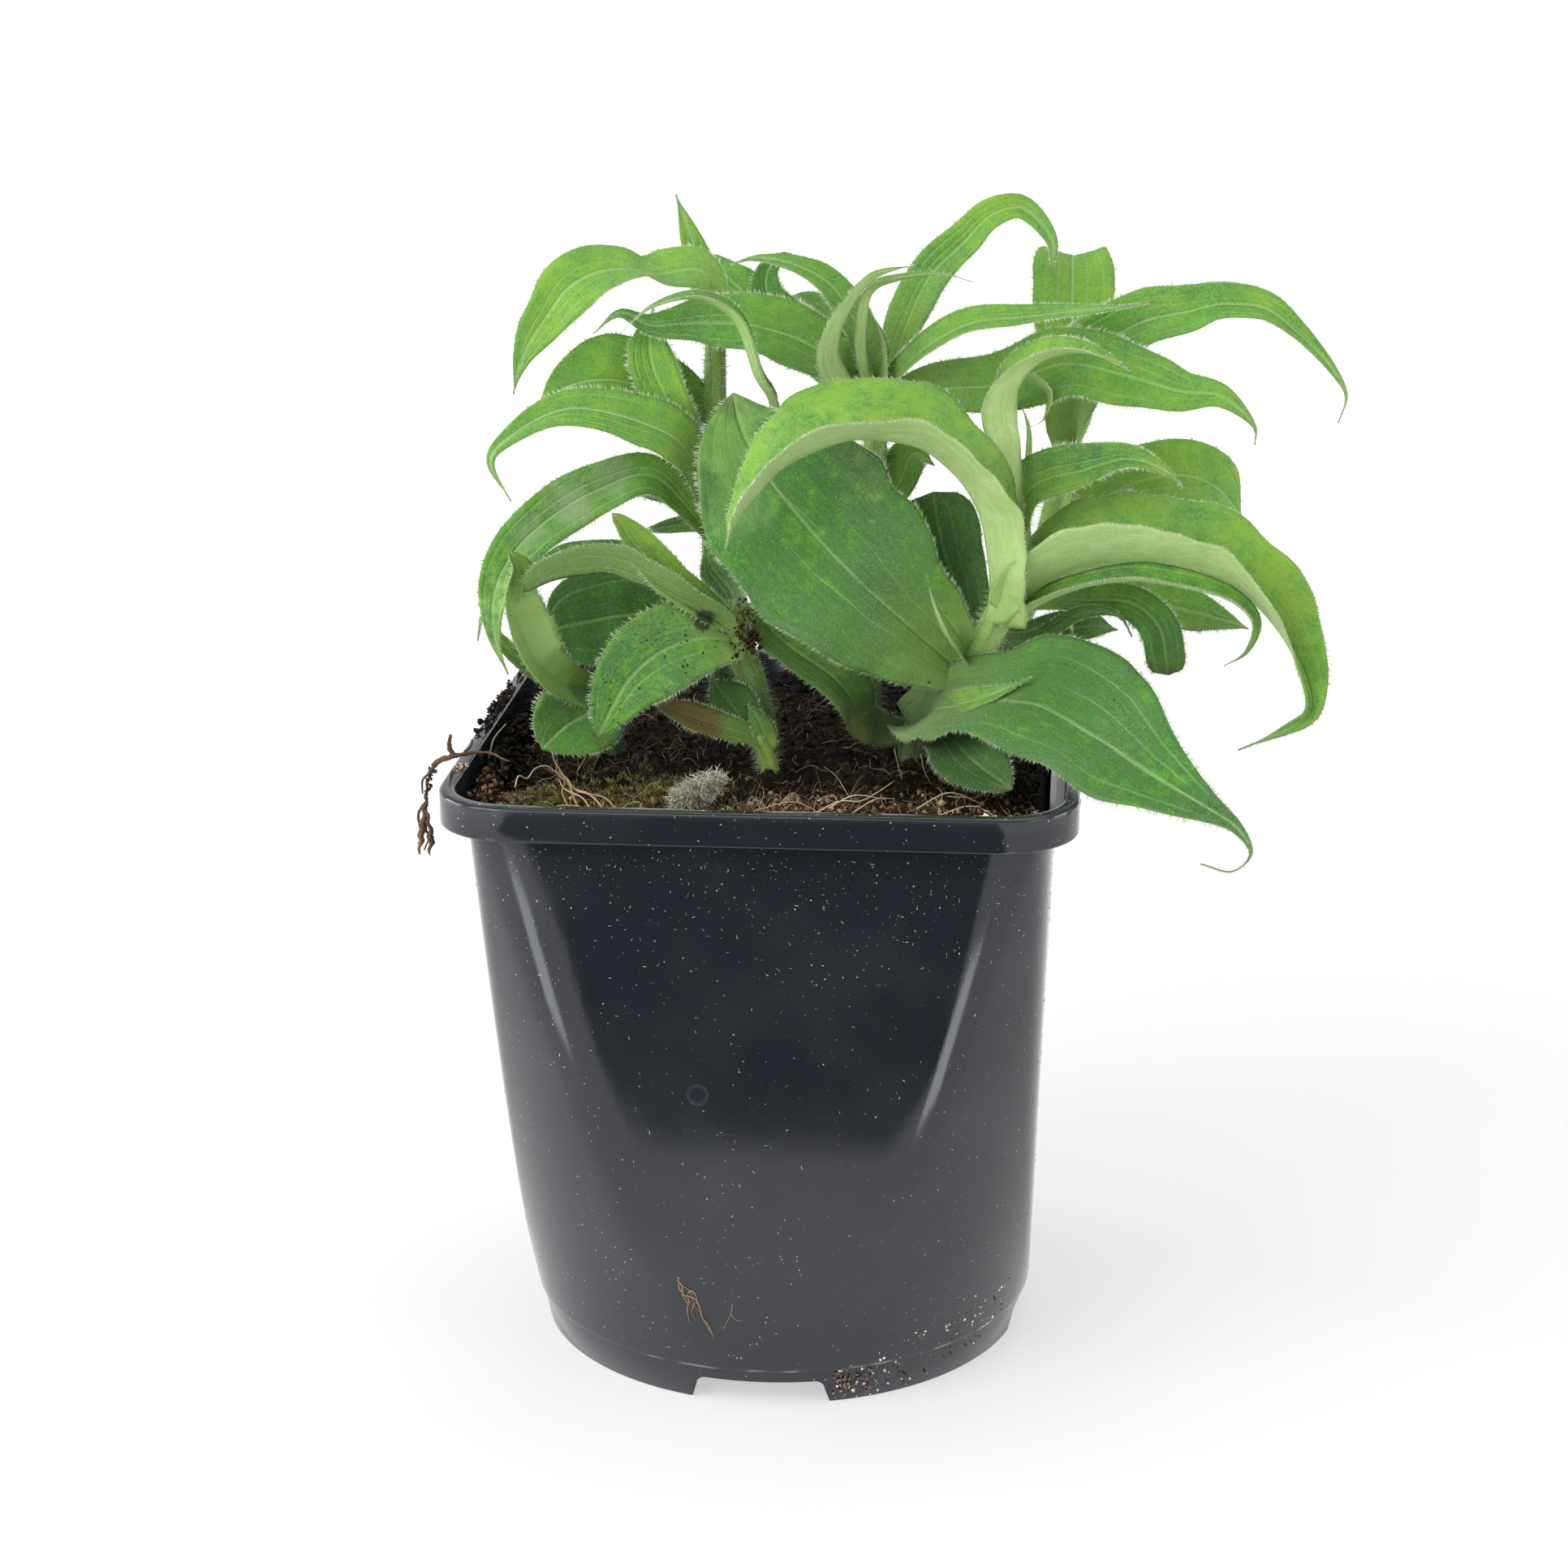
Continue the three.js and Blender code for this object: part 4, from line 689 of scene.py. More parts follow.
def leafMaterial(name, look):
    s = Shade(name, Sheen_Weight=look["sheen"], Sheen_Roughness=0.5, Sheen_Tint=look["sheenTint"],
              Specular_IOR_Level=look["gloss"])
    across, half, along, number = (s.read(k) for k in ("across", "half", "along", "number"))
    under, age, dry, pale = (s.read(k) for k in ("under", "age", "dry", "pale"))
    spot, sideways = s.place(), across * half
    flat = s.join(sideways, along, number * 9.1)
    cloud = s.noise(flat, look["cloudScale"], 4.0, 0.6)
    mottle = s.noise(flat, look["mottleScale"], 4.0, 0.65)
    streak = s.noise(s.join(sideways, along * 0.2, number * 7.3), look["streakScale"], 3.0)
    grain, fuzz = s.noise(spot, look["grainScale"], 2.0), s.noise(spot, look["downScale"], 1.0)
    # a few thin veins run from base to tip, wander a little and fade in and out
    lane = across * leafLook["veins"] + 0.5
    drift = s.noise(s.join(sideways, along * 0.4, number * 5.7), 0.12, 1.0) - 0.5
    lane = lane + drift * look["veinWander"]
    present = s.noise(s.join(lane.math("FLOOR") * 3.7, along * 0.03, number * 3.1), 1.0, 1.0)
    veinGap = abs(lane.math("FRACT") - 0.5) * half / leafLook["veins"]
    vein = s.ease(veinGap, *look["vein"]) * s.ease(present, *look["veinShown"])
    lines = s.ease(abs((lane * 4).math("FRACT") - 0.5), *look["line"])
    midrib = s.ease(abs(sideways), *look["midrib"])
    shade = age + (cloud - 0.5) * look["patchy"] + (streak - 0.5) * look["streaky"]
    shade = shade + (mottle - 0.5) * look["mottle"] + (grain - 0.5) * look["grainy"]
    colour = s.ramp(shade, look["ages"])
    ribs = vein * (age * 0.12 + 0.14) + midrib * 0.34 + lines * 0.04
    colour = s.mix(ribs, colour, look["veinTint"])
    # dark marks on old leaves, warm yellow ones on young leaves, a haze of down on both
    dark = s.ease(grain + cloud, *look["darkPlaces"])
    colour = s.mix(dark * age * 0.5, colour, look["blotch"])
    warm = s.noise(s.join(sideways, along * 0.5, number * 3.7), 0.2, 3.0)
    warm = s.ease(warm, *look["warmPlaces"])
    colour = s.mix(warm * (1 - age) * 0.35, colour, look["warm"])
    haze = s.ease(fuzz, 0.4, 0.75) * s.ease(mottle + cloud, *look["downPlaces"])
    colour = s.mix(haze * (age * 0.26 + 0.12), colour, look["down"])
    beneath = s.ease(streak * 0.5 + mottle * 0.5, 0.4, 0.62)
    beneath = s.mix(beneath, look["belowDark"], look["below"])
    beneath = s.mix(s.ease(age, 0.3, 0.8) * 0.8, beneath, look["belowOld"])
    beneath = s.mix(midrib * 0.4 + lines * 0.2 + vein * 0.25, beneath, look["paleBase"])
    colour = s.mix(under * 0.9, colour, beneath)
    colour = s.mix(pale * 0.8, colour, look["paleBase"])
    rim = s.ease(half - abs(sideways), *look["rim"]) * (1 - pale)
    edging = s.ramp(s.noise(s.join(along, number * 4.3, 0.0), 0.1, 2.0), look["edging"])
    colour = s.mix(rim * 0.4, colour, edging)
    colour = s.mix(dry, colour, s.ramp(streak * 0.5 + cloud * 0.5, look["withered"]))
    # painted shade: foliage deep inside the plant is darkened towards a dark green
    inner = paintedInnerShade(s, spot) * look["innerShadeStrength"]
    colour = s.mix(inner, colour, s.mix(grain, look["inner"], look["blotch"]))
    # painted shade: leaves and stems that lie in the shade of others are darkened
    colour = s.mix(s.read("dim"), colour, look["shaded"], "MULTIPLY")
    # the torn hollow's painted shade, and the brown spots
    for middle, size, depth in look["marks"]:
        gap = s.apart(spot, middle) + (grain - 0.5) * size * 0.8
        colour = s.mix(s.ease(gap, size, size * 0.6) * depth, colour, look["pitShadeAndSpots"])
    # soft areas of colour, some of them painted light that brightens leaves lying in shade
    for middle, size, depth, tone in look["patchesAndPaintedLight"]:
        gap = s.apart(spot, middle) + (mottle - 0.5) * size * 1.4
        colour = s.mix(s.ease(gap, size, size * 0.3) * depth, colour, tone)
    rough = age * 0.08 + grain * 0.18 + look["rough"] + under * 0.12
    height = vein * -0.3 - midrib * 0.55 - lines * 0.05 + grain * 0.35 + fuzz * 0.2 + mottle * 0.9
    return s.finish(colour, rough, height, look["relief"])


def hairMaterial():
    s, look = Shade("leaf_hair", Specular_IOR_Level=0.5, Sheen_Weight=0.2), hairTones
    spot = s.place()
    mixing = s.noise(spot, 0.35, 2.0)
    colour = s.mix(s.ease(mixing, 0.35, 0.65), look["white"], look["greenish"])
    low = s.ease(s.split(spot, 2), *look["lowHeights"])
    colour = s.mix(low * 0.45, colour, look["low"])
    # painted shade on the hairs deep inside the plant
    colour = s.mix(paintedInnerShade(s, spot) * 0.8, colour, look["inner"])
    return s.finish(colour, mixing * 0.2 + 0.4)


def growShoots():
    # every shoot with its leaves and hairs; gives back the blades, for the dirt on them
    materials = {"old_leaf": leafMaterial("leaf_old", leafTones),
                 "young_leaf": leafMaterial("leaf_young", youngTones)}
    white, blades = hairMaterial(), {}
    for order, (name, grown) in enumerate(growth.items()):
        slotName = "old_leaf" if name in oldShoots else "young_leaf"
        chance, green, hairs = np.random.default_rng(100 + order), Heap(), Heap()
        leaves, number = grown["leaves"], order * 20
        age = sum(leaf["age"] for leaf in leaves) / len(leaves) * leafLook["stemAge"]
        makeStem(green, hairs, grown["stem"], age, grown["dim"], number, chance)
        blades[name] = [makeBlade(leaf, k, 100 * order + k) for k, leaf in enumerate(leaves)]
        for index, (leaf, blade) in enumerate(zip(leaves, blades[name])):
            addBlade(green, leaf, blade, number + index + 1)
            hairsOnBlade(hairs, leaf, blade, chance)
        green.toPiece(name + "_leaves", materials[slotName], slotName, name)
        hairs.toPiece(name + "_hairs", white, slotName)
        print(name, "leaves", sum(map(len, green.faces)), "hairs", sum(map(len, hairs.faces)))
    return blades


shootBlades = growShoots()

# The pot: a square rim with round corners over a wall that turns round towards the foot.
potForm = {
    "height": 93.4, "rimHalf": 45, "rimCorner": 11.3, "rimBand": 5, "openHalf": 42.8,
    "openCorner": 9.4, "openDepth": 5, "wall": 0.9, "stepHeight": 6.0, "stepRadius": 38.5,
    "foot": 37, "footThick": 1.6, "footEdge": 0.25, "floorRaise": 4, "floorThick": 1.2,
    "roundAtTop": 55.3, "flatAtTop": 41.5, "creaseAtTop": 4, "creaseAtFoot": 0.3,
    "notchWidth": 19, "notchHeight": 3.8, "notchRound": 1.4, "notchDepth": 4, "drainHoles": 8,
    "drainRadius": 1.8, "drainRing": 22, "sides": 240, "edge": 0.4, "sharpAngle": 38,
    "wallRings": 44, "innerRings": 30,
}
wallTop = potForm["height"] - potForm["rimBand"]
turn = (np.arange(potForm["sides"]) + 0.5) / potForm["sides"] * fullTurn
cosine, sine = np.cos(turn), np.sin(turn)


def squareRing(half, corner):
    flat = half - corner
    straight = half / np.maximum(abs(cosine), abs(sine))
    along = flat * (abs(cosine) + abs(sine))
    inside = along ** 2 - 2 * flat ** 2 + corner ** 2
    onCorner = np.minimum(abs(cosine), abs(sine)) * straight > flat
    return np.where(onCorner, along + np.sqrt(np.maximum(inside, 0)), straight)


def wallRing(z, inset=0.0):
    form = potForm
    t = (z - form["stepHeight"]) / (wallTop - form["stepHeight"])
    ends = lambda low, high: low + (high - low) * t
    rounded = ends(form["stepRadius"], form["roundAtTop"])
    flat = ends(form["stepRadius"], form["flatAtTop"]) / np.maximum(abs(cosine), abs(sine))
    blend = ends(form["creaseAtFoot"], form["creaseAtTop"])
    h = np.maximum(blend - abs(rounded - flat), 0) / blend
    return np.minimum(rounded, flat) - h * h * blend / 4 - inset


def ringsToSolid(heap, profile, **values):
    # the profile holds each ring's radius, one or one for each direction, and its height
    rings = [np.column_stack([r * cosine, r * sine, np.broadcast_to(z, turn.shape)])
             for r, z in profile]
    ends = [ring.mean(0) for ring in (rings[0], rings[-1])]
    heap.add(np.vstack([*rings, *ends]), loftFaces(len(rings), len(turn)), **values)


def makePot():
    form = potForm
    edge, foot, step, bevel = (form[k] for k in ("edge", "foot", "stepHeight", "footEdge"))
    top, shelf = form["height"], form["height"] - form["openDepth"]
    inner = foot - form["footThick"]
    # round the foot ring and up to the step
    profile = [(inner - 1, form["floorRaise"]), (inner, 0.2), (inner + 0.2, 0), (foot - bevel, 0),
               (foot, bevel), (foot + 0.9, 5.35), (foot + 0.95, 5.55),
               (wallRing(step, 0.12), step - bevel), (wallRing(step), step)]
    profile += [(wallRing(z), z) for z in np.linspace(step + 0.6, wallTop, form["wallRings"])]
    # out under the rim, over its two edges, down inside it and back down the inner wall
    bends = [(math.sin(a), math.cos(a)) for a in np.radians(np.linspace(0, 90, 5))]
    outer, opening = form["rimHalf"] - edge, form["openHalf"] + edge
    profile += [(squareRing(outer + edge * up, form["rimCorner"]), wallTop + edge * (1 - on))
                for up, on in bends]
    profile += [(squareRing(outer + edge * on, form["rimCorner"]), top - edge + edge * up)
                for up, on in bends]
    profile += [(squareRing(opening - edge * up, form["openCorner"]), top - edge + edge * on)
                for up, on in bends]
    profile += [(squareRing(form["openHalf"] - 0.6, form["openCorner"] - edge), shelf)]
    profile += [(wallRing(z, form["wall"]), z)
                for z in np.linspace(shelf - 0.6, step + 1, form["innerRings"])]
    profile += [(inner - 2, form["floorRaise"] + form["floorThick"])]
    shell = Heap()
    ringsToSolid(shell, profile)
    pot = shell.toPiece("nursery_pot", potPlastic(), "pot_plastic", "pot")
    cutter = makeCutter()
    cut = pot.modifiers.new("notches", "BOOLEAN")
    cut.object, cut.operation, cut.solver = cutter, "DIFFERENCE", "EXACT"
    bpy.context.view_layer.objects.active = pot
    bpy.ops.object.modifier_apply(modifier=cut.name)
    bpy.data.objects.remove(cutter)
    work = bmesh.new()
    work.from_mesh(pot.data)
    for line in work.edges:
        line.smooth = line.calc_face_angle(0) < math.radians(form["sharpAngle"])
    work.to_mesh(pot.data)
    work.free()


def makeCutter():
    # four notches in the foot ring and the drain holes in the floor
    form, work = potForm, bmesh.new()
    half, shoulder, tall = form["notchWidth"] / 2, form["notchRound"], form["notchHeight"]
    right = [(half + 1, -1.0)] + [(half - shoulder * (1 - math.cos(a)),
                                   tall - shoulder * (1 - math.sin(a)))
                                  for a in np.radians(np.linspace(0, 90, 6))]
    arch = right + [(-x, z) for x, z in reversed(right)]
    for quarter in range(4):
        rotation = Matrix.Rotation(quarter * fullTurn / 4, 3, "Z")
        front, back = [[work.verts.new(rotation @ Vector((x, y - form["foot"], z)))
                        for x, z in arch] for y in (-form["notchDepth"], form["notchDepth"])]
        work.faces.new(front)
        work.faces.new(back[::-1])
        for four in zip(front[1:] + front[:1], front, back, back[1:] + back[:1]):
            work.faces.new(four)
    for hole in range(form["drainHoles"]):
        angle = hole / form["drainHoles"] * fullTurn
        spot = (form["drainRing"] * math.cos(angle), form["drainRing"] * math.sin(angle),
                form["floorRaise"] + form["floorThick"] / 2)
        radius = form["drainRadius"]
        bmesh.ops.create_cone(work, cap_ends=True, segments=20, radius1=radius, radius2=radius,
                              depth=4, matrix=Matrix.Translation(spot))
    bmesh.ops.recalc_face_normals(work, faces=work.faces)
    for vert in work.verts:
        vert.co = Vector(potAxis) + vert.co * metre
    mesh = bpy.data.meshes.new("pot_cutter")
    work.to_mesh(mesh)
    work.free()
    return linked("pot_cutter", mesh)


potTones = {
    "black": (0.0118, 0.0137, 0.0178), "dusty": (0.03, 0.033, 0.039),
    "soiled": (0.07, 0.04, 0.028), "soiledHeights": (13, 3), "lowHeights": (66, 18),
    "speck": (0.5, 0.47, 0.42), "speckSize": 0.1, "speckScale": 0.7, "stepDust": 5.9,
    "dustWidth": (0.34, 0.08), "cloudScale": 0.035, "filmScale": 0.5, "fineScale": 5.0,
    "smearScale": 0.06, "smearPlaces": (0.4, 0.75), "soiledPlaces": (0.68, 0.78),
    "speckPlaces": (0.46, 0.6), "fewestSpecks": 47, "dustPlaces": (0.5, 0.62),
    "rough": 0.045, "relief": 0.02, "gateMark": (-8.2, -41, 49.9),
    "gateSize": 1.65, "gateLine": (0.35, 0.05), "gate": (0.2, 0.22, 0.25),
}


def potPlastic():
    s, look = Shade("pot_plastic", Specular_IOR_Level=0.5), potTones
    spot = s.place()
    height = s.split(spot, 2)
    cloud = s.noise(spot, look["cloudScale"], 4.0, 0.6)
    film = s.noise(spot, look["filmScale"], 4.0, 0.65)
    fine = s.noise(spot, look["fineScale"], 2.0)
    low = s.ease(height + (cloud - 0.5) * 30, *look["lowHeights"])
    smear = s.ease(s.noise(spot, look["smearScale"], 2.0), *look["smearPlaces"])
    colour = s.mix(low * 0.5 + smear * 0.3 + (fine - 0.5) * 0.5, look["black"], look["dusty"])
    soil = s.ease(film * 0.7 + cloud * 0.5, *look["soiledPlaces"])
    soil = soil * s.ease(height, *look["soiledHeights"])
    colour = s.mix(soil * 0.7, colour, look["soiled"])
    # pale flecks of dried peat, denser under the rim and near the foot
    size = look["speckSize"]
    flecks = s.ease(s.cells(spot, look["speckScale"]), size, size * 0.4)
    kept = s.noise(spot, 0.12, 2.0)
    kept = kept + s.ease(abs(height - look["fewestSpecks"]), 20, 44) * 0.1
    kept = s.ease(kept, *look["speckPlaces"])
    colour = s.mix(flecks * kept * 0.8, colour, look["speck"])
    # dust that lies along the step
    dust = s.ease(abs(height - look["stepDust"]), *look["dustWidth"])
    dust = dust * s.ease(s.noise(spot, 0.14, 3.0), *look["dustPlaces"])
    colour = s.mix(dust * 0.3, colour, look["speck"])
    # the round mark that the mould left on the front
    mark = s.apart(spot, look["gateMark"]) - look["gateSize"]
    mark = s.ease(abs(mark), *look["gateLine"])
    colour = s.mix(mark * 0.07, colour, look["gate"])
    rough = film * 0.04 + low * 0.03 + smear * 0.03 + fine * 0.03 + flecks * 0.2 + look["rough"]
    height = fine * 0.3 + film * 0.2 + mark * 0.5 + flecks * kept
    return s.finish(colour, rough, height, look["relief"])


makePot()
print("pot made")

# The peat, with lumps, moss, roots and fibres on top.
peatForm = {
    "level": 88.4, "mound": 0.78, "rough": 0.5, "edgeDrop": 2, "gap": 1.35, "rings": 110,
    "edgeHeight": 1.2, "footRadius": 32.8, "footHeight": 5.5,
    # how many crumbs, how big and how far they stand out of the soil
    "crumbs": ((6600, (0.2, 0.75), 0.1), (420, (0.7, 1.4), 0.35)),
    "clodSize": (0.2, 0.65), "clodHeight": 3.4, "clodReach": (-41, 40.6),
    "onRim": 150, "onRimSize": (0.12, 0.48), "onRimAcross": (-45.1, -43),
    "onRimAlong": (9, 8), "onRimEnds": (-8, 33),
    # clods that lie against the rim: where, how many, how wide
    "clods": ((-40, 3, 150, 3.2), (-41, 17, 110, 4.0), (-40, -12, 150, 4.0), (-41, 28, 70, 4.0),
              (30, -36, 40, 2.6), (0, 38, 60, 5.0), (-40, -23, 170, 3.4), (-39, -32, 110, 2.4),
              (-34, -38, 80, 2.6)),
}
peatTones = {
    "tones": [(0, (0.007, 0.0045, 0.0035)), (0.33, (0.034, 0.018, 0.012)),
              (0.52, (0.115, 0.058, 0.034)), (0.75, (0.27, 0.155, 0.09)), (1, (0.58, 0.45, 0.3))],
    "mossy": (0.13, 0.12, 0.03), "shadedDepths": (-27, -17), "shaded": (0.14, 0.13, 0.11),
    "shadedFibres": (0.2, 0.19, 0.15), "lumpScale": 0.4, "fineScale": 3.0, "mossScale": 0.28,
    "mossPlaces": (0.5, 0.62), "mossGrain": (0.42, 0.6), "fibreScale": 2.2,
    "relief": 0.35, "fibreRelief": 0.08,
}


def soilHeight(x, y):
    rolling = np.sin(x / 7.3 + 1.1) * np.cos(y / 6.1 - 0.6) + 0.6 * np.sin(x / 3.1 - y / 4.3)
    fine = waves(x, y, 3.2, 5) + 0.7 * waves(x, y, 1.3, 6)
    return peatForm["level"] + peatForm["mound"] * rolling + peatForm["rough"] * fine


def onSoil(count, chance, outer=0.97):
    # random spots on the soil, evenly spread inside the wall
    share = np.sqrt(chance.uniform(0, outer ** 2, count))
    pick = chance.integers(0, len(turn), count)
    reach = wallRing(wallTop - peatForm["edgeDrop"], peatForm["gap"])[pick] * share
    x, y = reach * cosine[pick], reach * sine[pick]
    return np.column_stack([x, y, soilHeight(x, y)])


def pile(heap, chance, count, middle, spread, sizes, seed, tone, *shape):
    # crumbs heaped round one spot; a tone of two numbers is the darkest and how far it varies
    spots = chance.normal(0, 1, (count, 3)) * spread + middle
    points, faces = crumbs(spots, chance.uniform(*sizes, count), seed, *shape)
    if np.ndim(tone):
        tone = tone[0] + tone[1] * chance.random(count)
    heap.add(points, faces, tone=tone)


def peatMaterial(name):
    s, look = Shade(name, Specular_IOR_Level=0.12), peatTones
    spot, tone = s.place(), s.read("tone")
    lumps = s.noise(spot, look["lumpScale"], 4.0, 0.6)
    fine = s.noise(spot, look["fineScale"], 3.0)
    # painted shade: the peat under the leaves is darkened nearly to black, where the foliage
    # shades it
    shadowMask = s.ease(s.split(spot, 1) + (lumps - 0.5) * 14, *look["shadedDepths"])
    colour = s.ramp(tone * 0.8 + lumps * 0.5 + fine * 0.45 - 0.35 - shadowMask * 0.17, look["tones"])
    green = s.noise(spot, look["mossScale"], 3.0)
    green = s.ease(green, *look["mossPlaces"]) * s.ease(fine, *look["mossGrain"])
    colour = s.mix(green * s.ease(fine, 0.4, 0.6) * 0.75, colour, look["mossy"])
    colour = s.mix(shadowMask * 0.85, colour, look["shaded"], "MULTIPLY")
    return s.finish(colour, fine * 0.2 - shadowMask * 0.1 + 0.7, fine + lumps, look["relief"])


def fibreMaterial(name, stops, rough=0.6, shaded=0.0):
    s, look = Shade(name, Specular_IOR_Level=0.3), peatTones
    spot, tone = s.place(), s.read("tone")
    grain = s.noise(spot, look["fibreScale"], 3.0)
    # painted shade: fibres under the leaves are darkened, as the peat is
    shadowMask = s.ease(s.split(spot, 1), *look["shadedDepths"]) * shaded
    colour = s.ramp(tone * 0.7 + grain * 0.3, stops)
    colour = s.mix(shadowMask, colour, look["shadedFibres"], "MULTIPLY")
    return s.finish(colour, grain * 0.2 + rough, grain, look["fibreRelief"])


def makePeat():
    form, body, loose = peatForm, Heap(), Heap()
    edge = wallRing(wallTop - form["edgeDrop"], form["gap"])
    edgeHeight = wallTop - form["edgeHeight"]
    profile = []
    for share in np.linspace(0.01, 0.985, form["rings"]):
        height = soilHeight(edge * share * cosine, edge * share * sine)
        near = np.clip((share - 0.9) / 0.08, 0, 1)
        profile.append((edge * share, height * (1 - near) + edgeHeight * near))
    profile.append((edge, wallTop - form["edgeDrop"]))
    profile += [(wallRing(z, form["gap"]), z) for z in np.linspace(wallTop - 6, 7.4, 14)]
    profile.append((form["footRadius"], form["footHeight"]))
    ringsToSolid(body, profile[::-1], tone=0.3)
    body.toPiece("peat", peatMaterial("peat"), "peat", "soil")

    chance = np.random.default_rng(7)
    for count, size, rise in form["crumbs"]:
        spots = onSoil(count, chance) + [0, 0, rise]
        loose.add(*crumbs(spots, chance.uniform(*size, count) / 2, count, 0.5, 0.3),
                  tone=chance.random(count) ** 1.1)
    for x, y, count, spread in form["clods"]:
        spots = chance.normal(0, spread, (count, 2)) * [0.4, 1.0] + [x, y]
        spots = np.clip(spots, *form["clodReach"])
        z = form["level"] + 0.4 + chance.random(count) * form["clodHeight"]
        loose.add(*crumbs(np.column_stack([spots, z]), chance.uniform(*form["clodSize"], count),
                          count, 0.35, 0.35), tone=chance.random(count) ** 1.6 * 0.8)
    # a little on the rim's left edge
    count = form["onRim"]
    across = chance.uniform(*form["onRimAcross"], count)
    along = chance.normal(*form["onRimAlong"], count).clip(*form["onRimEnds"])
    spots = np.column_stack([across, along, potForm["height"] + 0.8 * chance.random(count)])
    loose.add(*crumbs(spots, chance.uniform(*form["onRimSize"], count), 3, 0.4, 0.35),
              tone=0.1 + 0.7 * chance.random(count))
    pile(loose, chance, 26, (-43.8, -26.5, 93.7), (0.5, 0.8, 0.2), (0.1, 0.26), 4, 1.5, 0.3, 0.3)
    loose.toPiece("peat_crumbs", peatMaterial("peat_crumb"), "peat")


fibreForm = {
    "fibres": 1700, "length": (1, 5.5), "width": (0.02, 0.055), "bend": 0.45, "reach": 40.2,
    "ends": (-0.4, 1.1), "arch": (0, 0.3, 0.45, 0.3, 0), "litterFrom": -20, "thinned": 0.6,
    "chips": 1200, "chipsFrom": -16, "chipSize": (0.14, 0.5),
    "tones": [(0, (0.07, 0.03, 0.016)), (0.4, (0.3, 0.175, 0.085)), (0.75, (0.56, 0.46, 0.28)),
              (1, (0.8, 0.74, 0.58))],
    # long roots that rise out of the peat: path, width and tone
    "roots": [
        ("-22 -31 89, -24.5 -28.5 90.6, -27.5 -26 90.8, -29.5 -22 91.6, -31.2 -19.5 93.2, "
         "-32 -17.5 96", 0.14, 0.6),
        ("-25.5 -31.5 89, -27.2 -28 90.6, -28 -25 91.2, -30.4 -21.5 91.6, -30.8 -19 93",
         0.17, 0.4),
        ("-20.5 -30 89, -22.5 -28.4 90.2, -26.5 -27.2 90.7, -28.8 -23.5 91.6, -32 -20 91.8",
         0.13, 0.5),
        ("-27 -32 89.5, -28.6 -28 90.8, -28.8 -24.5 91.3, -31 -20 91.4", 0.14, 0.3),
        ("-24 -32 89.5, -25.4 -29.6 90.4, -28.4 -27.2 91, -29.8 -23.5 91.3", 0.11, 0.7),
        ("-36 -25 90.3, -35.6 -24 91.8, -34.6 -22.5 91, -33.6 -21.5 92.2, -32 -21 92.5, "
         "-30.6 -21 91.6", 0.1, 0.95),
        ("-42 -13 91, -41.5 -11 93.5, -39.5 -11.5 96", 0.13, 0.9),
        ("-28.5 -15 90, -27 -12.5 92.5, -26 -12 94.5", 0.11, 0.75),
        ("-26.5 -12 90, -25.5 -12 92, -24.5 -12.5 94", 0.09, 0.85),
        ("8 -31 89.5, 11.5 -31 91.3, 14 -30 91, 16.5 -26 91.3, 18.5 -23 92", 0.12, 0.8),
        ("9.5 -29 89.5, 13 -28 91.2, 17.5 -25.5 90", 0.1, 0.9),
        ("12.5 -32.5 89.5, 16 -31 91.5, 18.5 -25 90", 0.11, 0.7),
        ("18 -15 94.5, 18.5 -14.5 92, 19 -14 89.5", 0.09, 0.95),
        ("22 -17.5 94.5, 22.5 -17.5 92, 23.5 -16.5 89.5", 0.08, 0.85),
        ("-7.5 -25 89.5, -6 -26 91.5, -5 -25 92.3", 0.1, 0.8),
        ("-1 -31 89.5, 5 -31 91, 8.5 -31 89.5", 0.08, 0.7),
        ("22 -28 89.5, 26.5 -26.5 91.5, 31.5 -25.5 89.5", 0.09, 0.8),
        ("24.5 -32 89.5, 30 -31 91, 34 -32 89.5", 0.08, 0.9),
        ("-33.5 -36 89.5, -26.5 -35 91, -20 -35.5 89.5", 0.08, 0.7),
    ],
}


def makeFibres():
    form, chance, roots = fibreForm, np.random.default_rng(12), Heap()
    for _ in range(form["fibres"]):
        start = onSoil(1, chance, 0.95)[0]
        if start[1] > form["litterFrom"] and chance.random() < form["thinned"]:
            continue
        length = chance.uniform(*form["length"]) * chance.choice([0.5, 1.0])
        angle, bend = chance.uniform(0, fullTurn), chance.normal(0, form["bend"])
        path = [start]
        for _ in range(4):
            angle += bend * chance.uniform(0.2, 1.6)
            path.append(path[-1] + length / 4 * np.array([math.cos(angle), math.sin(angle), 0]))
        path = np.array(path)
        path[:, :2] = np.clip(path[:, :2], -form["reach"], form["reach"])
        ends = chance.uniform(*form["ends"], 2) + [0, chance.exponential(0.7)]
        raised = np.linspace(*ends, 5) + np.array(form["arch"])
        path[:, 2] = soilHeight(path[:, 0], path[:, 1]) + 0.2 + raised
        width = chance.uniform(*form["width"])
        roots.add(*tube(path, [width, width, width * 0.6, width * 0.3], 8, 4),
                  tone=0.15 + 0.95 * chance.random())
    for path, width, tone in form["roots"]:
        radii = [width, width, width * 0.8, width * 0.4]
        roots.add(*tube(pathOf(path), radii, 26, 6, 0.1, 4), tone=tone)
    # flat chips of straw and bark near the front
    spots = onSoil(form["chips"], chance)
    spots = spots[spots[:, 1] < form["chipsFrom"]] + [0, 0, 0.35]
    count = len(spots)
    roots.add(*crumbs(spots, chance.uniform(*form["chipSize"], count), 61, 0.2, 0.35),
              tone=chance.random(count) ** 2.2)
    # a pale crumb of lime against the rim on the right
    pile(roots, chance, 60, (32.5, -38.6, 91.2), (1.5, 0.4, 0.25), (0.25, 0.6), 17, 1.2, 0.6, 0.3)
    material = fibreMaterial("peat_root", form["tones"], 0.6, 0.7)
    roots.toPiece("peat_roots", material, "dry_root")


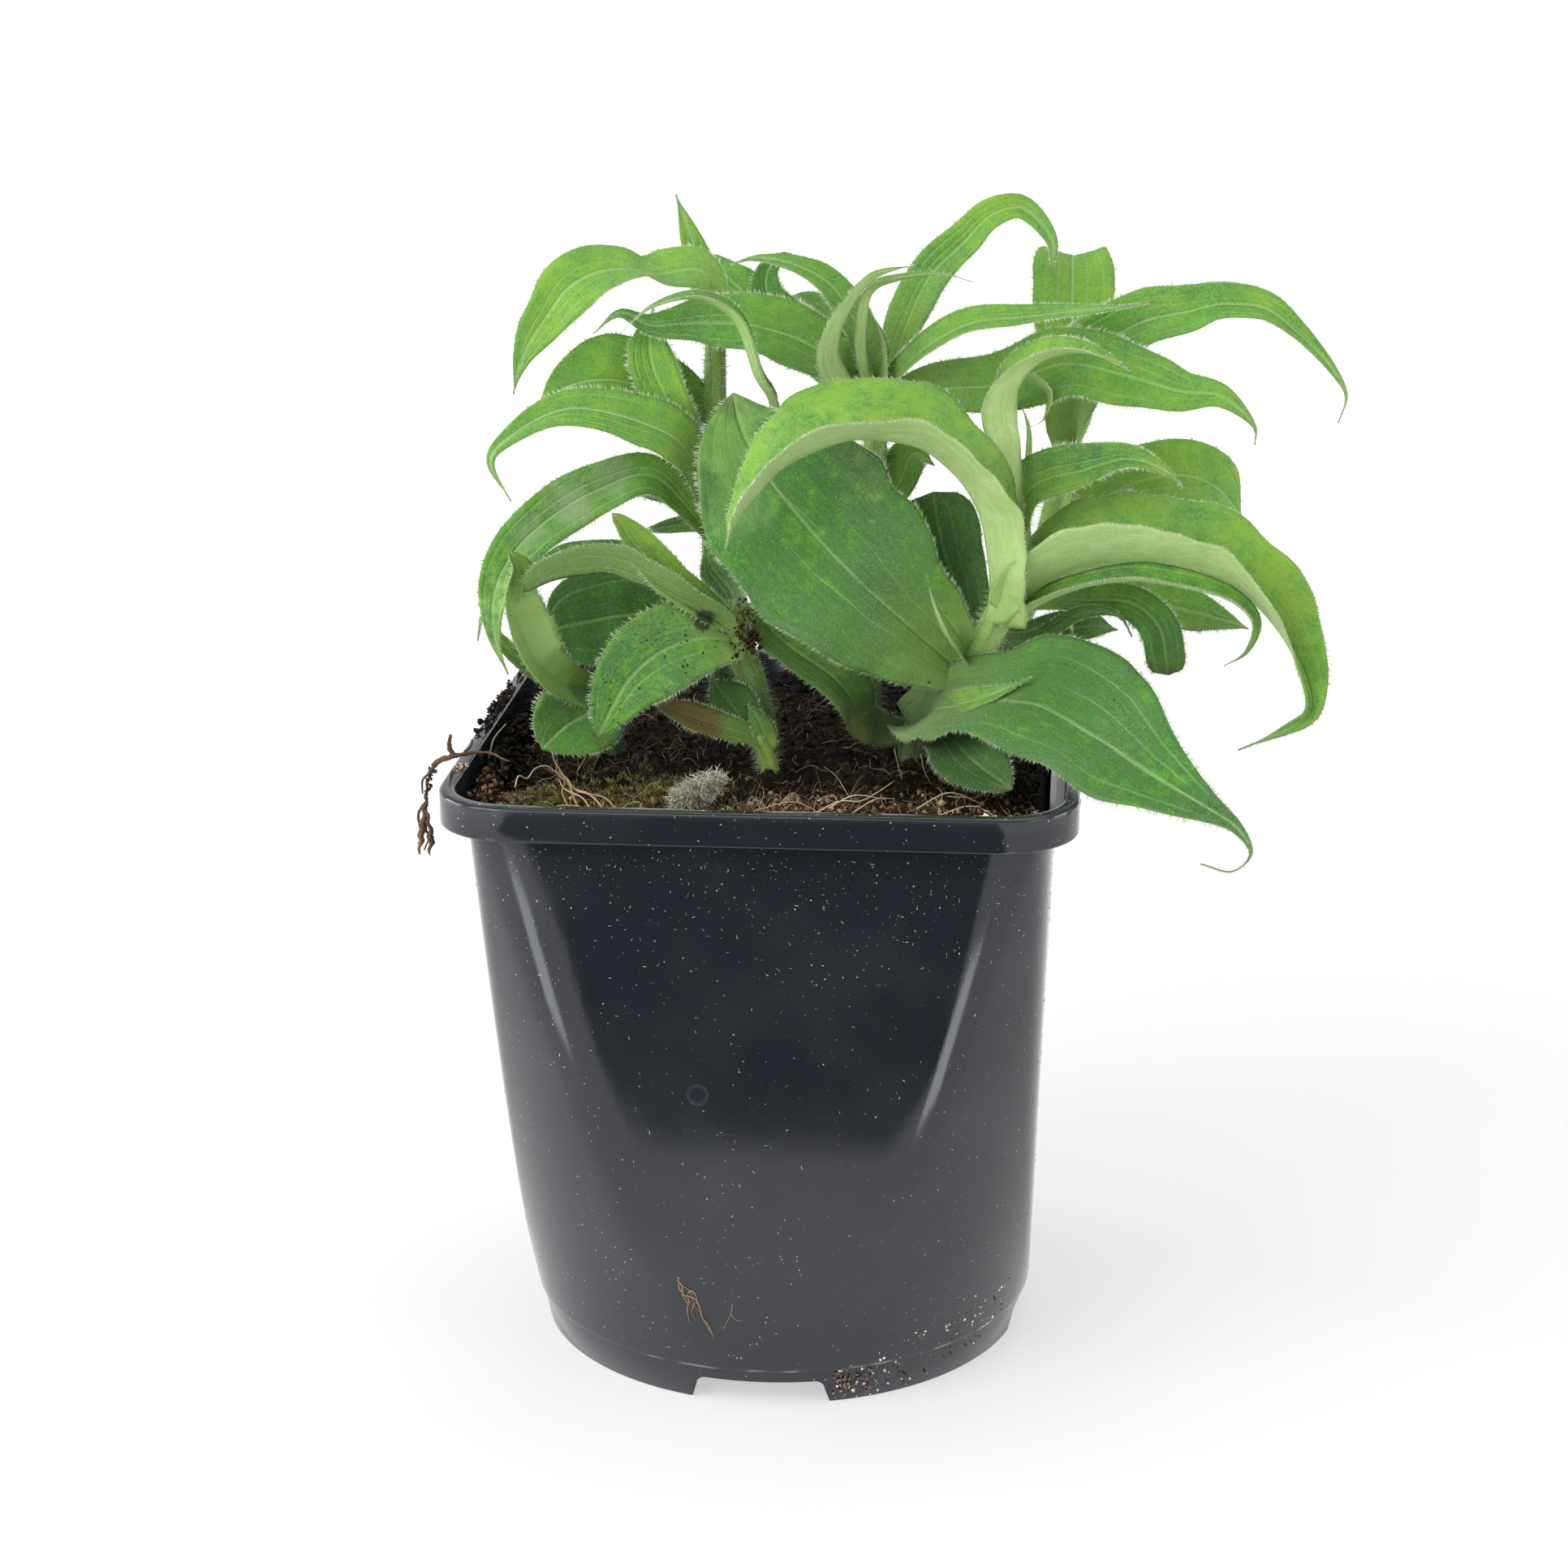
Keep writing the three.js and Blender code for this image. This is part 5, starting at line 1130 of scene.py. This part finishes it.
mossForm = {
    "spots": ((-24, -26, 11), (-35, -29, 7), (-14, -20, 9)), "tufts": 520, "blades": 16,
    "reach": 38.5, "length": (0.4, 1.3), "width": 0.08,
    "tones": [(0, (0.014, 0.014, 0.005)), (0.45, (0.065, 0.064, 0.016)), (1, (0.42, 0.38, 0.1))],
}


def makeMoss():
    form, chance, moss = mossForm, np.random.default_rng(19), Heap()
    tufts = np.vstack([chance.normal(0, spread / 2, (form["tufts"] // 3, 2)) * [1.2, 0.8] + [x, y]
                       for x, y, spread in form["spots"]])
    tufts = tufts[(abs(tufts) < form["reach"]).all(1)]
    base = np.repeat(tufts, form["blades"], 0)
    base = base + chance.normal(0, 0.35, base.shape)
    z, count = soilHeight(base[:, 0], base[:, 1]) + 0.1, len(base)
    lean = np.column_stack([chance.normal(0, 0.6, (count, 2)), np.ones(count)])
    moss.add(*spikes(np.column_stack([base, z]), lean, chance.uniform(*form["length"], count),
                     form["width"]), tone=chance.random(count))
    moss.toPiece("moss", fibreMaterial("moss", form["tones"], 0.5), "peat")


makePeat()
makeFibres()
makeMoss()
print("peat, roots and moss made")

# The dry root over the rim, and the woolly husk.
strandForm = {
    "main": "-38 -18 92.2, -41 -20 94, -44.5 -22.5 94.3, -48.2 -21 92.6, -50.1 -18.5 88.6, "
            "-50.8 -18 84, -52 -18 77.5",
    "mainRadii": [0.12, 0.16, 0.22, 0.36, 0.45, 0.3, 0.22, 0.24, 0.46, 0.5, 0.14],
    "mainTones": [0.95, 0.8, 0.35, 0.3, 0.2, 0.35, 0.15, 0.5, 0.8],
    "fork": "-50.7 -18 85, -49.9 -18.6 80.5, -50.2 -19 77.8",
    "forkRadii": [0.22, 0.26, 0.5, 0.12],
    "twigs": [("-49 -20 91, -50.6 -19.5 89.5, -50.8 -19 87.2", 0.2),
              ("-50.6 -18 85.6, -51.9 -17.5 83.6, -51.5 -17.6 80.6", 0.24),
              ("-51 -18 82, -50.6 -17 79.8, -51.3 -17.4 78", 0.2),
              ("-45.2 -22.4 94, -45.9 -22.4 95.6, -45.7 -22 97.2", 0.42),
              ("-43.8 -22 94.5, -42.8 -21.6 95.6, -42.7 -21.4 96.4", 0.22)],
    "samples": 70, "sides": 9, "gnarled": 0.16, "crumbs": 46, "crumbSize": (0.12, 0.34),
    "tones": [(0, (0.02, 0.012, 0.008)), (0.5, (0.1, 0.055, 0.03)), (1, (0.36, 0.24, 0.14))],
}


def makeStrand():
    form, strand, chance = strandForm, Heap(), np.random.default_rng(23)
    samples, sides, count = form["samples"], form["sides"], form["crumbs"]
    tones = np.repeat(valueAlong(form["mainTones"], np.linspace(0, 1, samples)), sides)
    for path, radii in ((form["main"], form["mainRadii"]), (form["fork"], form["forkRadii"])):
        points, faces = tube(pathOf(path), radii, samples, sides, form["gnarled"], 8)
        points[:, :2] += 0.12 * np.sin(points[:, 2:] * 3.1)
        strand.add(points, faces, tone=np.append(tones, [0.5, 0.5]))
    for path, radius in form["twigs"]:
        radii = [radius, radius * 0.9, radius * 0.5]
        strand.add(*tube(pathOf(path), radii, 18, 6, 0.15, 9), tone=0.15)
    line = smoothPath(pathOf(form["main"])[3:], 60)[0]
    stuck = line[chance.integers(8, 60, count)] + chance.normal(0, 0.2, (count, 3))
    strand.add(*crumbs(stuck, chance.uniform(*form["crumbSize"], count), 31), tone=0.12)
    material = fibreMaterial("dry_root", form["tones"], 0.65)
    strand.toPiece("dry_root", material, "dry_root", "root_strand")


huskForm = {
    "centre": (-9, -30, 92), "radii": (5.5, 2.8, 2), "tilt": -28, "hairs": 2600,
    "hairLength": (0.4, 1.3), "hairWidth": 0.04, "hairSway": 0.5, "strands": 420,
    "strandStep": (0.3, 0.6), "strandCurl": 0.75, "strandRadii": (0.07, 0.06, 0.03),
    "tones": [(0, (0.07, 0.06, 0.045)), (0.5, (0.3, 0.28, 0.21)), (1, (0.7, 0.67, 0.56))],
}


def makeHusk():
    form, husk, chance = huskForm, Heap(), np.random.default_rng(29)
    ball, faces = ballOf(5)
    swell = 1 + 0.12 * np.sin(5 * ball[:, 0] + 2) * np.cos(4 * ball[:, 2])
    swell = swell + 0.07 * waves(ball[:, 0] * 9, ball[:, 1] * 9 + ball[:, 2] * 7, 4, 3)
    tilt = np.array(Matrix.Rotation(math.radians(form["tilt"]), 3, "Y")).T
    shape = (ball * form["radii"] * (swell * 0.7)[:, None]) @ tilt + form["centre"]
    husk.add(shape, faces, tone=0.15)
    count = form["hairs"]
    pick = chance.integers(0, len(ball), count)
    lean = (ball[pick] * [0.3, 0.8, 0.8] + [0.9, 0, 0]) @ tilt
    lean = lean + chance.normal(0, form["hairSway"], (count, 3))
    husk.add(*spikes(shape[pick], lean, chance.uniform(*form["hairLength"], count),
                     form["hairWidth"]), tone=chance.uniform(0.4, 1, count))
    # long curly strands, loosest at both ends
    for start in chance.integers(0, len(ball), form["strands"]):
        path = [shape[start]]
        lean = np.sign(ball[start, :1]) * [0.8, 0, 0] @ tilt + ball[start] @ tilt
        for _ in range(4):
            lean = unit(lean + chance.normal(0, form["strandCurl"], 3))
            path.append(path[-1] + lean * chance.uniform(*form["strandStep"]))
        husk.add(*tube(path, form["strandRadii"], 9, 3), tone=chance.uniform(0.35, 1.25))
    material = fibreMaterial("woolly_husk", form["tones"], 0.7)
    husk.toPiece("woolly_husk", material, "woolly_husk", "husk")


makeStrand()
makeHusk()


# Dried specks and threads on the pot's wall, and dirt by the step.
speckForm = {
    "specks": 3400, "nearRim": 0.55, "fall": 9, "onRim": 420, "onRimTop": 0.5,
    "length": (0.08, 0.8), "width": 0.065, "lowest": 7, "dirt": 120, "dirtSize": (0.04, 0.2),
    "dirtAngles": (-40, -73.5), "dirtSpread": (0.13, 0.14), "dirtHeights": (8.6, 3.4),
    "dirtRise": (2.6, 1.5), "footReach": 37.3,
    "tones": [(0, (0.05, 0.022, 0.014)), (0.25, (0.19, 0.075, 0.045)), (0.5, (0.34, 0.28, 0.17)),
              (0.75, (0.75, 0.74, 0.7)), (1, (0.9, 0.9, 0.88))],
}
scrapForm = {
    "tones": [(0, (0.04, 0.028, 0.018)), (0.4, (0.24, 0.18, 0.11)), (1, (0.55, 0.48, 0.33))],
    # angle round the pot and height of each thread, its width and tone
    "threads": [
        ("-106.4 21, -106.2 19, -105 17.8, -103.4 16", 0.22, 0.2),
        ("-106.6 20.4, -105.8 19.6, -105.6 18, -104.6 16.6", 0.2, 0.36),
        ("-105 18, -103 17.4, -101.8 14.6, -100 12", 0.19, 0.3),
        ("-105.8 19.6, -104.2 18.8, -103.6 17, -102.4 15.4", 0.16, 0.22),
        ("-104.6 18.4, -103.8 18.8, -103 18, -102.8 16.6", 0.15, 0.4),
        ("-104.4 17.6, -104.8 15.6, -104.6 13.6", 0.12, 0.34),
        ("-103.2 17, -104 15.2, -103.2 14", 0.12, 0.2),
        ("-101.8 14.4, -100.6 13.4, -99.4 11", 0.15, 0.26),
        ("-95.4 17, -95.8 15.2, -96.8 13.8, -97.4 12.6", 0.05, 0.6),
        ("-95.8 15.2, -94.4 14.2, -93.4 14.4", 0.05, 0.65),
    ],
}


def roundPot(angle, reach, z):
    return np.column_stack([reach * np.cos(angle), reach * np.sin(angle), z])


def onWall(angle, z):
    # points of the pot's outer wall at these angles and heights, and the way out
    reach = np.array([np.interp(a % fullTurn, turn, wallRing(h), period=fullTurn)
                      for a, h in zip(angle, z)])
    return roundPot(angle, reach, z), unit(roundPot(angle, 1, np.full(len(angle), -0.08)))


def makeSpecks():
    form, specks, chance = speckForm, Heap(), np.random.default_rng(37)
    count, few = form["specks"], form["onRim"]
    high = chance.random(count) < form["nearRim"]
    z = np.where(high, wallTop - 1 - chance.exponential(form["fall"], count),
                 chance.uniform(form["lowest"], wallTop - 1, count))
    z = np.clip(z, form["lowest"], wallTop - 0.4)
    root, out = onWall(chance.uniform(0, fullTurn, count), z)
    # some lie on the rim, on its side or on its top
    around, flat = chance.uniform(0, fullTurn, few), chance.random(few) < form["onRimTop"]
    rim = squareRing(potForm["rimHalf"], potForm["rimCorner"])
    reach = np.interp(around, turn, rim, period=fullTurn)
    reach = reach - np.where(flat, chance.uniform(0.5, 1.9, few), -0.01)
    height = np.where(flat, potForm["height"] + 0.01, chance.uniform(wallTop + 0.5, 93, few))
    root = np.vstack([root, roundPot(around, reach, height)])
    aside = roundPot(around, 1, np.zeros(few))
    out = np.vstack([out, np.where(flat[:, None], [[0, 0.05, 1.0]], aside)])
    count += few
    level = unit(np.cross(out, [0.02, 0, 1.0]))
    slant = chance.uniform(0, math.pi, count)[:, None]
    lying = level * np.cos(slant) + np.cross(level, out) * np.sin(slant)
    specks.add(*spikes(root + out * 0.02, lying + out * 0.04,
                       np.interp(chance.random(count) ** 2.2, (0, 1), form["length"]),
                       chance.uniform(0.4, 1.0, count) * form["width"]),
               tone=0.25 + 0.75 * chance.random(count))
    # reddish dirt by the step and on the foot, on the right
    few = form["dirt"]
    (right, front), (wide, narrow) = np.radians(form["dirtAngles"]), form["dirtSpread"]
    angle = np.concatenate([chance.normal(right, wide, few),
                            front + abs(chance.normal(0, narrow, few))])
    z = np.concatenate([chance.normal(middle, rise, few)
                        for middle, rise in zip(form["dirtHeights"], form["dirtRise"])])
    root, _ = onWall(angle, z.clip(6.2, 14))
    low = z < potForm["stepHeight"]
    root[low] = roundPot(angle[low], form["footReach"] + z[low] * 0.15, z[low].clip(0.5, 6))
    count = len(root)
    sizes = chance.uniform(*form["dirtSize"], count) + 0.12 * chance.random(count) ** 4
    specks.add(*crumbs(root, sizes, 41), tone=chance.random(count) ** 1.3)
    specks.toPiece("pot_specks", fibreMaterial("pot_speck", form["tones"], 0.7), "peat")


def makeScrap():
    # a scrap of root stuck to the front
    scrap = Heap()
    for path, width, tone in scrapForm["threads"]:
        angle, z = np.array(pathOf(path)).T
        root, out = onWall(np.radians(angle), z)
        radii = np.array([1, 0.9, 0.5]) * width * 0.75
        scrap.add(*tube(root + out * 0.12, radii, 22, 5, 0.2, 6), tone=tone)
    scrap.toPiece("wall_root", fibreMaterial("wall_root", scrapForm["tones"], 0.7), "dry_root")


makeSpecks()
makeScrap()

dirtForm = {
    # shoot and number of the leaf, how many bits, between which shares of its length, their
    # sizes, the seed and the tone
    "onLeaves": [("shoot_left", 2, 110, (0.1, 0.9), (0.05, 0.16), 51, 0.2),
                 ("shoot_left", 2, 9, (0.3, 0.75), (0.16, 0.34), 57, 1.3),
                 ("shoot_left", 2, 60, (0.0, 0.12), (0.08, 0.34), 52, 0.35),
                 ("shoot_front", 0, 16, (0.1, 0.8), (0.06, 0.16), 53, 0.9),
                 ("shoot_front", 4, 14, (0.2, 0.8), (0.06, 0.16), 54, 0.8)],
    # at the crown of the left shoot: how many, where, how far spread, sizes, seed, tones
    "atCrown": [(70, (-4.9, -6.4, 110.4), (0.8, 0.7, 1.9), (0.1, 0.3), 58, (0.6, 0.7)),
                (60, (-3.4, -5.0, 107.4), (0.45, 0.6, 1.2), (0.15, 0.42), 59, (0.5, 0.8))],
}


def makeDirt():
    dirt = Heap()
    for name, index, count, rows, sizes, seed, tone in dirtForm["onLeaves"]:
        grid, chance = shootBlades[name][index]["upper"], np.random.default_rng(seed)
        row = (chance.uniform(*rows, count) * (grid.shape[0] - 1)).astype(int)
        column = chance.integers(1, grid.shape[1] - 1, count)
        spots = grid[row, column] + chance.normal(0, 0.12, (count, 3))
        dirt.add(*crumbs(spots, chance.uniform(*sizes, count), seed), tone=tone)
    chance = np.random.default_rng(58)
    for count, middle, spread, sizes, seed, tones in dirtForm["atCrown"]:
        pile(dirt, chance, count, middle, spread, sizes, seed, tones)
    dirt.toPiece("leaf_dirt", peatMaterial("leaf_dirt"), "peat")


makeDirt()
print("strand, husk, specks and dirt made")

# Floor, lights and camera.
studio = {
    "floor": (0.4, 0.4, 0.4), "floorWorn": (0.3, 0.3, 0.3), "floorSize": 12.0,
    "glow": (0.52, 0.98), "glowReach": (0.12, 0.8),
    "horizon": 1.15, "overhead": 0.45, "horizonSpan": (0.15, 0.4), "lampsAimAt": (0, 0, 0.1),
    "lens": 74.8, "eye": (46.44, -467.41, 226.52), "turn": 5.62, "tilt": 16.86, "roll": -0.0058,
    "lamps": [
        ("key", (-0.6, -0.55, 0.6), 0.7, 7.0), ("fill", (0.75, -0.45, 0.5), 0.45, 1.6),
        ("front", (-0.35, -1.0, 0.3), 0.6, 1.8), ("top", (0.1, 0.3, 1.0), 0.6, 3.0),
        ("leftStrip", (-0.8, 0.1, 0.25), 0.5, 4.0), ("rightStrip", (0.85, 0.1, 0.2), 0.4, 2.4),
    ],
    "cards": [
        ("dark_card", "-25 -119, 52 -119, 62 -132, 115 -420, 115 -900, -240 -900, -130 -240, "
                      "-64 -206, -47 -150, -30 -124", 0.0),
        ("left_strip_card", "-80 -108, -104 -98, -142 -150, -116 -172", 5.0),
        ("right_strip_card", "46 -100, 66 -94, 96 -142, 76 -154", 5.0),
    ],
    "cardDark": ((0.004, 0.004, 0.004), (0.012, 0.012, 0.012)),
    "cardGlow": ((0.9, 0.95, 1.0), (1.0, 1.0, 1.0)),
}


def stageObject(name, corners, material):
    mesh = bpy.data.meshes.new(name)
    mesh.from_pydata(corners, [], [tuple(range(len(corners)))])
    mesh.materials.append(material)
    piece = linked(name, mesh)
    return piece


def makeFloor():
    # pale all over; its own glow rises away from the pot, so that it ends in white
    s = Shade("floor_pale", Specular_IOR_Level=0.1, Emission_Strength=1.0)
    spot = s.place()
    faint = s.noise(spot, 0.004, 2.0)
    x, y = s.split(spot, 0) * metre, s.split(spot, 1) * metre
    away = s.ease((x * x + y * y).math("SQRT"), *studio["glowReach"])
    glow = s.mix(away, *((strength,) * 3 for strength in studio["glow"]))
    s.feed(s.surface.inputs["Emission Color"], glow)
    s.finish(s.mix(faint * 0.06, studio["floor"], studio["floorWorn"]), faint * 0.1 + 0.8)
    half = studio["floorSize"]
    corners = [(-half, -half, 0), (half, -half, 0), (half, half, 0), (-half, half, 0)]
    stageObject("floor", corners, s.material)


def makeCards():
    # cards just over the floor that only the shine on the pot and leaves can see
    for name, corners, glow in studio["cards"]:
        s = Shade(name, Specular_IOR_Level=0.0, Emission_Strength=glow)
        grain = s.noise(s.place(), 0.05, 2.0)
        s.feed(s.surface.inputs["Emission Color"], s.mix(grain, *studio["cardGlow"]))
        s.finish(s.mix(grain, *studio["cardDark"]), grain * 0.1 + 0.85)
        height = 2 if glow else 1
        spots = [Vector((x, y, height)) * metre + Vector(potAxis) for x, y in pathOf(corners)]
        card = stageObject(name, spots, s.material)
        for sight in ("camera", "diffuse", "transmission", "volume_scatter", "shadow"):
            setattr(card, "visible_" + sight, False)


def makeSky():
    # bright round the horizon, softer overhead
    world = bpy.data.worlds.new("studio")
    bpy.context.scene.world = world
    world.use_nodes = True
    tree = world.node_tree
    back = tree.nodes["Background"]
    spot = tree.nodes.new("ShaderNodeTexCoord")
    split = tree.nodes.new("ShaderNodeSeparateXYZ")
    ramp = tree.nodes.new("ShaderNodeMapRange")
    ramp.interpolation_type = "SMOOTHSTEP"
    low, high = studio["horizonSpan"]
    for key, value in (("From Min", low), ("From Max", high), ("To Min", studio["horizon"]),
                       ("To Max", studio["overhead"])):
        ramp.inputs[key].default_value = value
    tree.links.new(spot.outputs["Generated"], split.inputs[0])
    tree.links.new(split.outputs["Z"], ramp.inputs["Value"])
    tree.links.new(ramp.outputs[0], back.inputs["Strength"])
    back.inputs["Color"].default_value = (1, 1, 1, 1)


def makeLamps():
    target = Vector(studio["lampsAimAt"])
    for name, spot, size, power in studio["lamps"]:
        lamp = bpy.data.lights.new(name, "AREA")
        lamp.shape, lamp.size, lamp.energy = "SQUARE", size, power
        holder = linked(name, lamp)
        holder.location = spot
        holder.rotation_mode = "QUATERNION"
        holder.rotation_quaternion = (target - Vector(spot)).to_track_quat("-Z", "Y")


def makeCamera():
    turned, tilt, roll = (math.radians(studio["turn"]), math.radians(studio["tilt"]),
                          studio["roll"])
    back = Vector((math.sin(turned) * math.cos(tilt), -math.cos(turned) * math.cos(tilt),
                   math.sin(tilt)))
    level = Vector((math.cos(turned), math.sin(turned), 0))
    up = back.cross(level)
    right = level * math.cos(roll) + up * math.sin(roll)
    upright = up * math.cos(roll) - level * math.sin(roll)
    camera = bpy.data.cameras.new("camera")
    camera.lens, camera.sensor_width, camera.clip_start = studio["lens"], 36, 0.01
    holder = linked("camera", camera)
    eye = Vector(studio["eye"]) * metre + Vector(potAxis)
    rotation = Matrix((right, upright, back)).transposed()
    holder.matrix_world = Matrix.Translation(eye) @ rotation.to_4x4()
    bpy.context.scene.camera = holder


makeFloor()
makeCards()
makeSky()
makeLamps()
makeCamera()
bpy.context.scene.view_settings.view_transform = "Standard"
print("floor, lights and camera made")
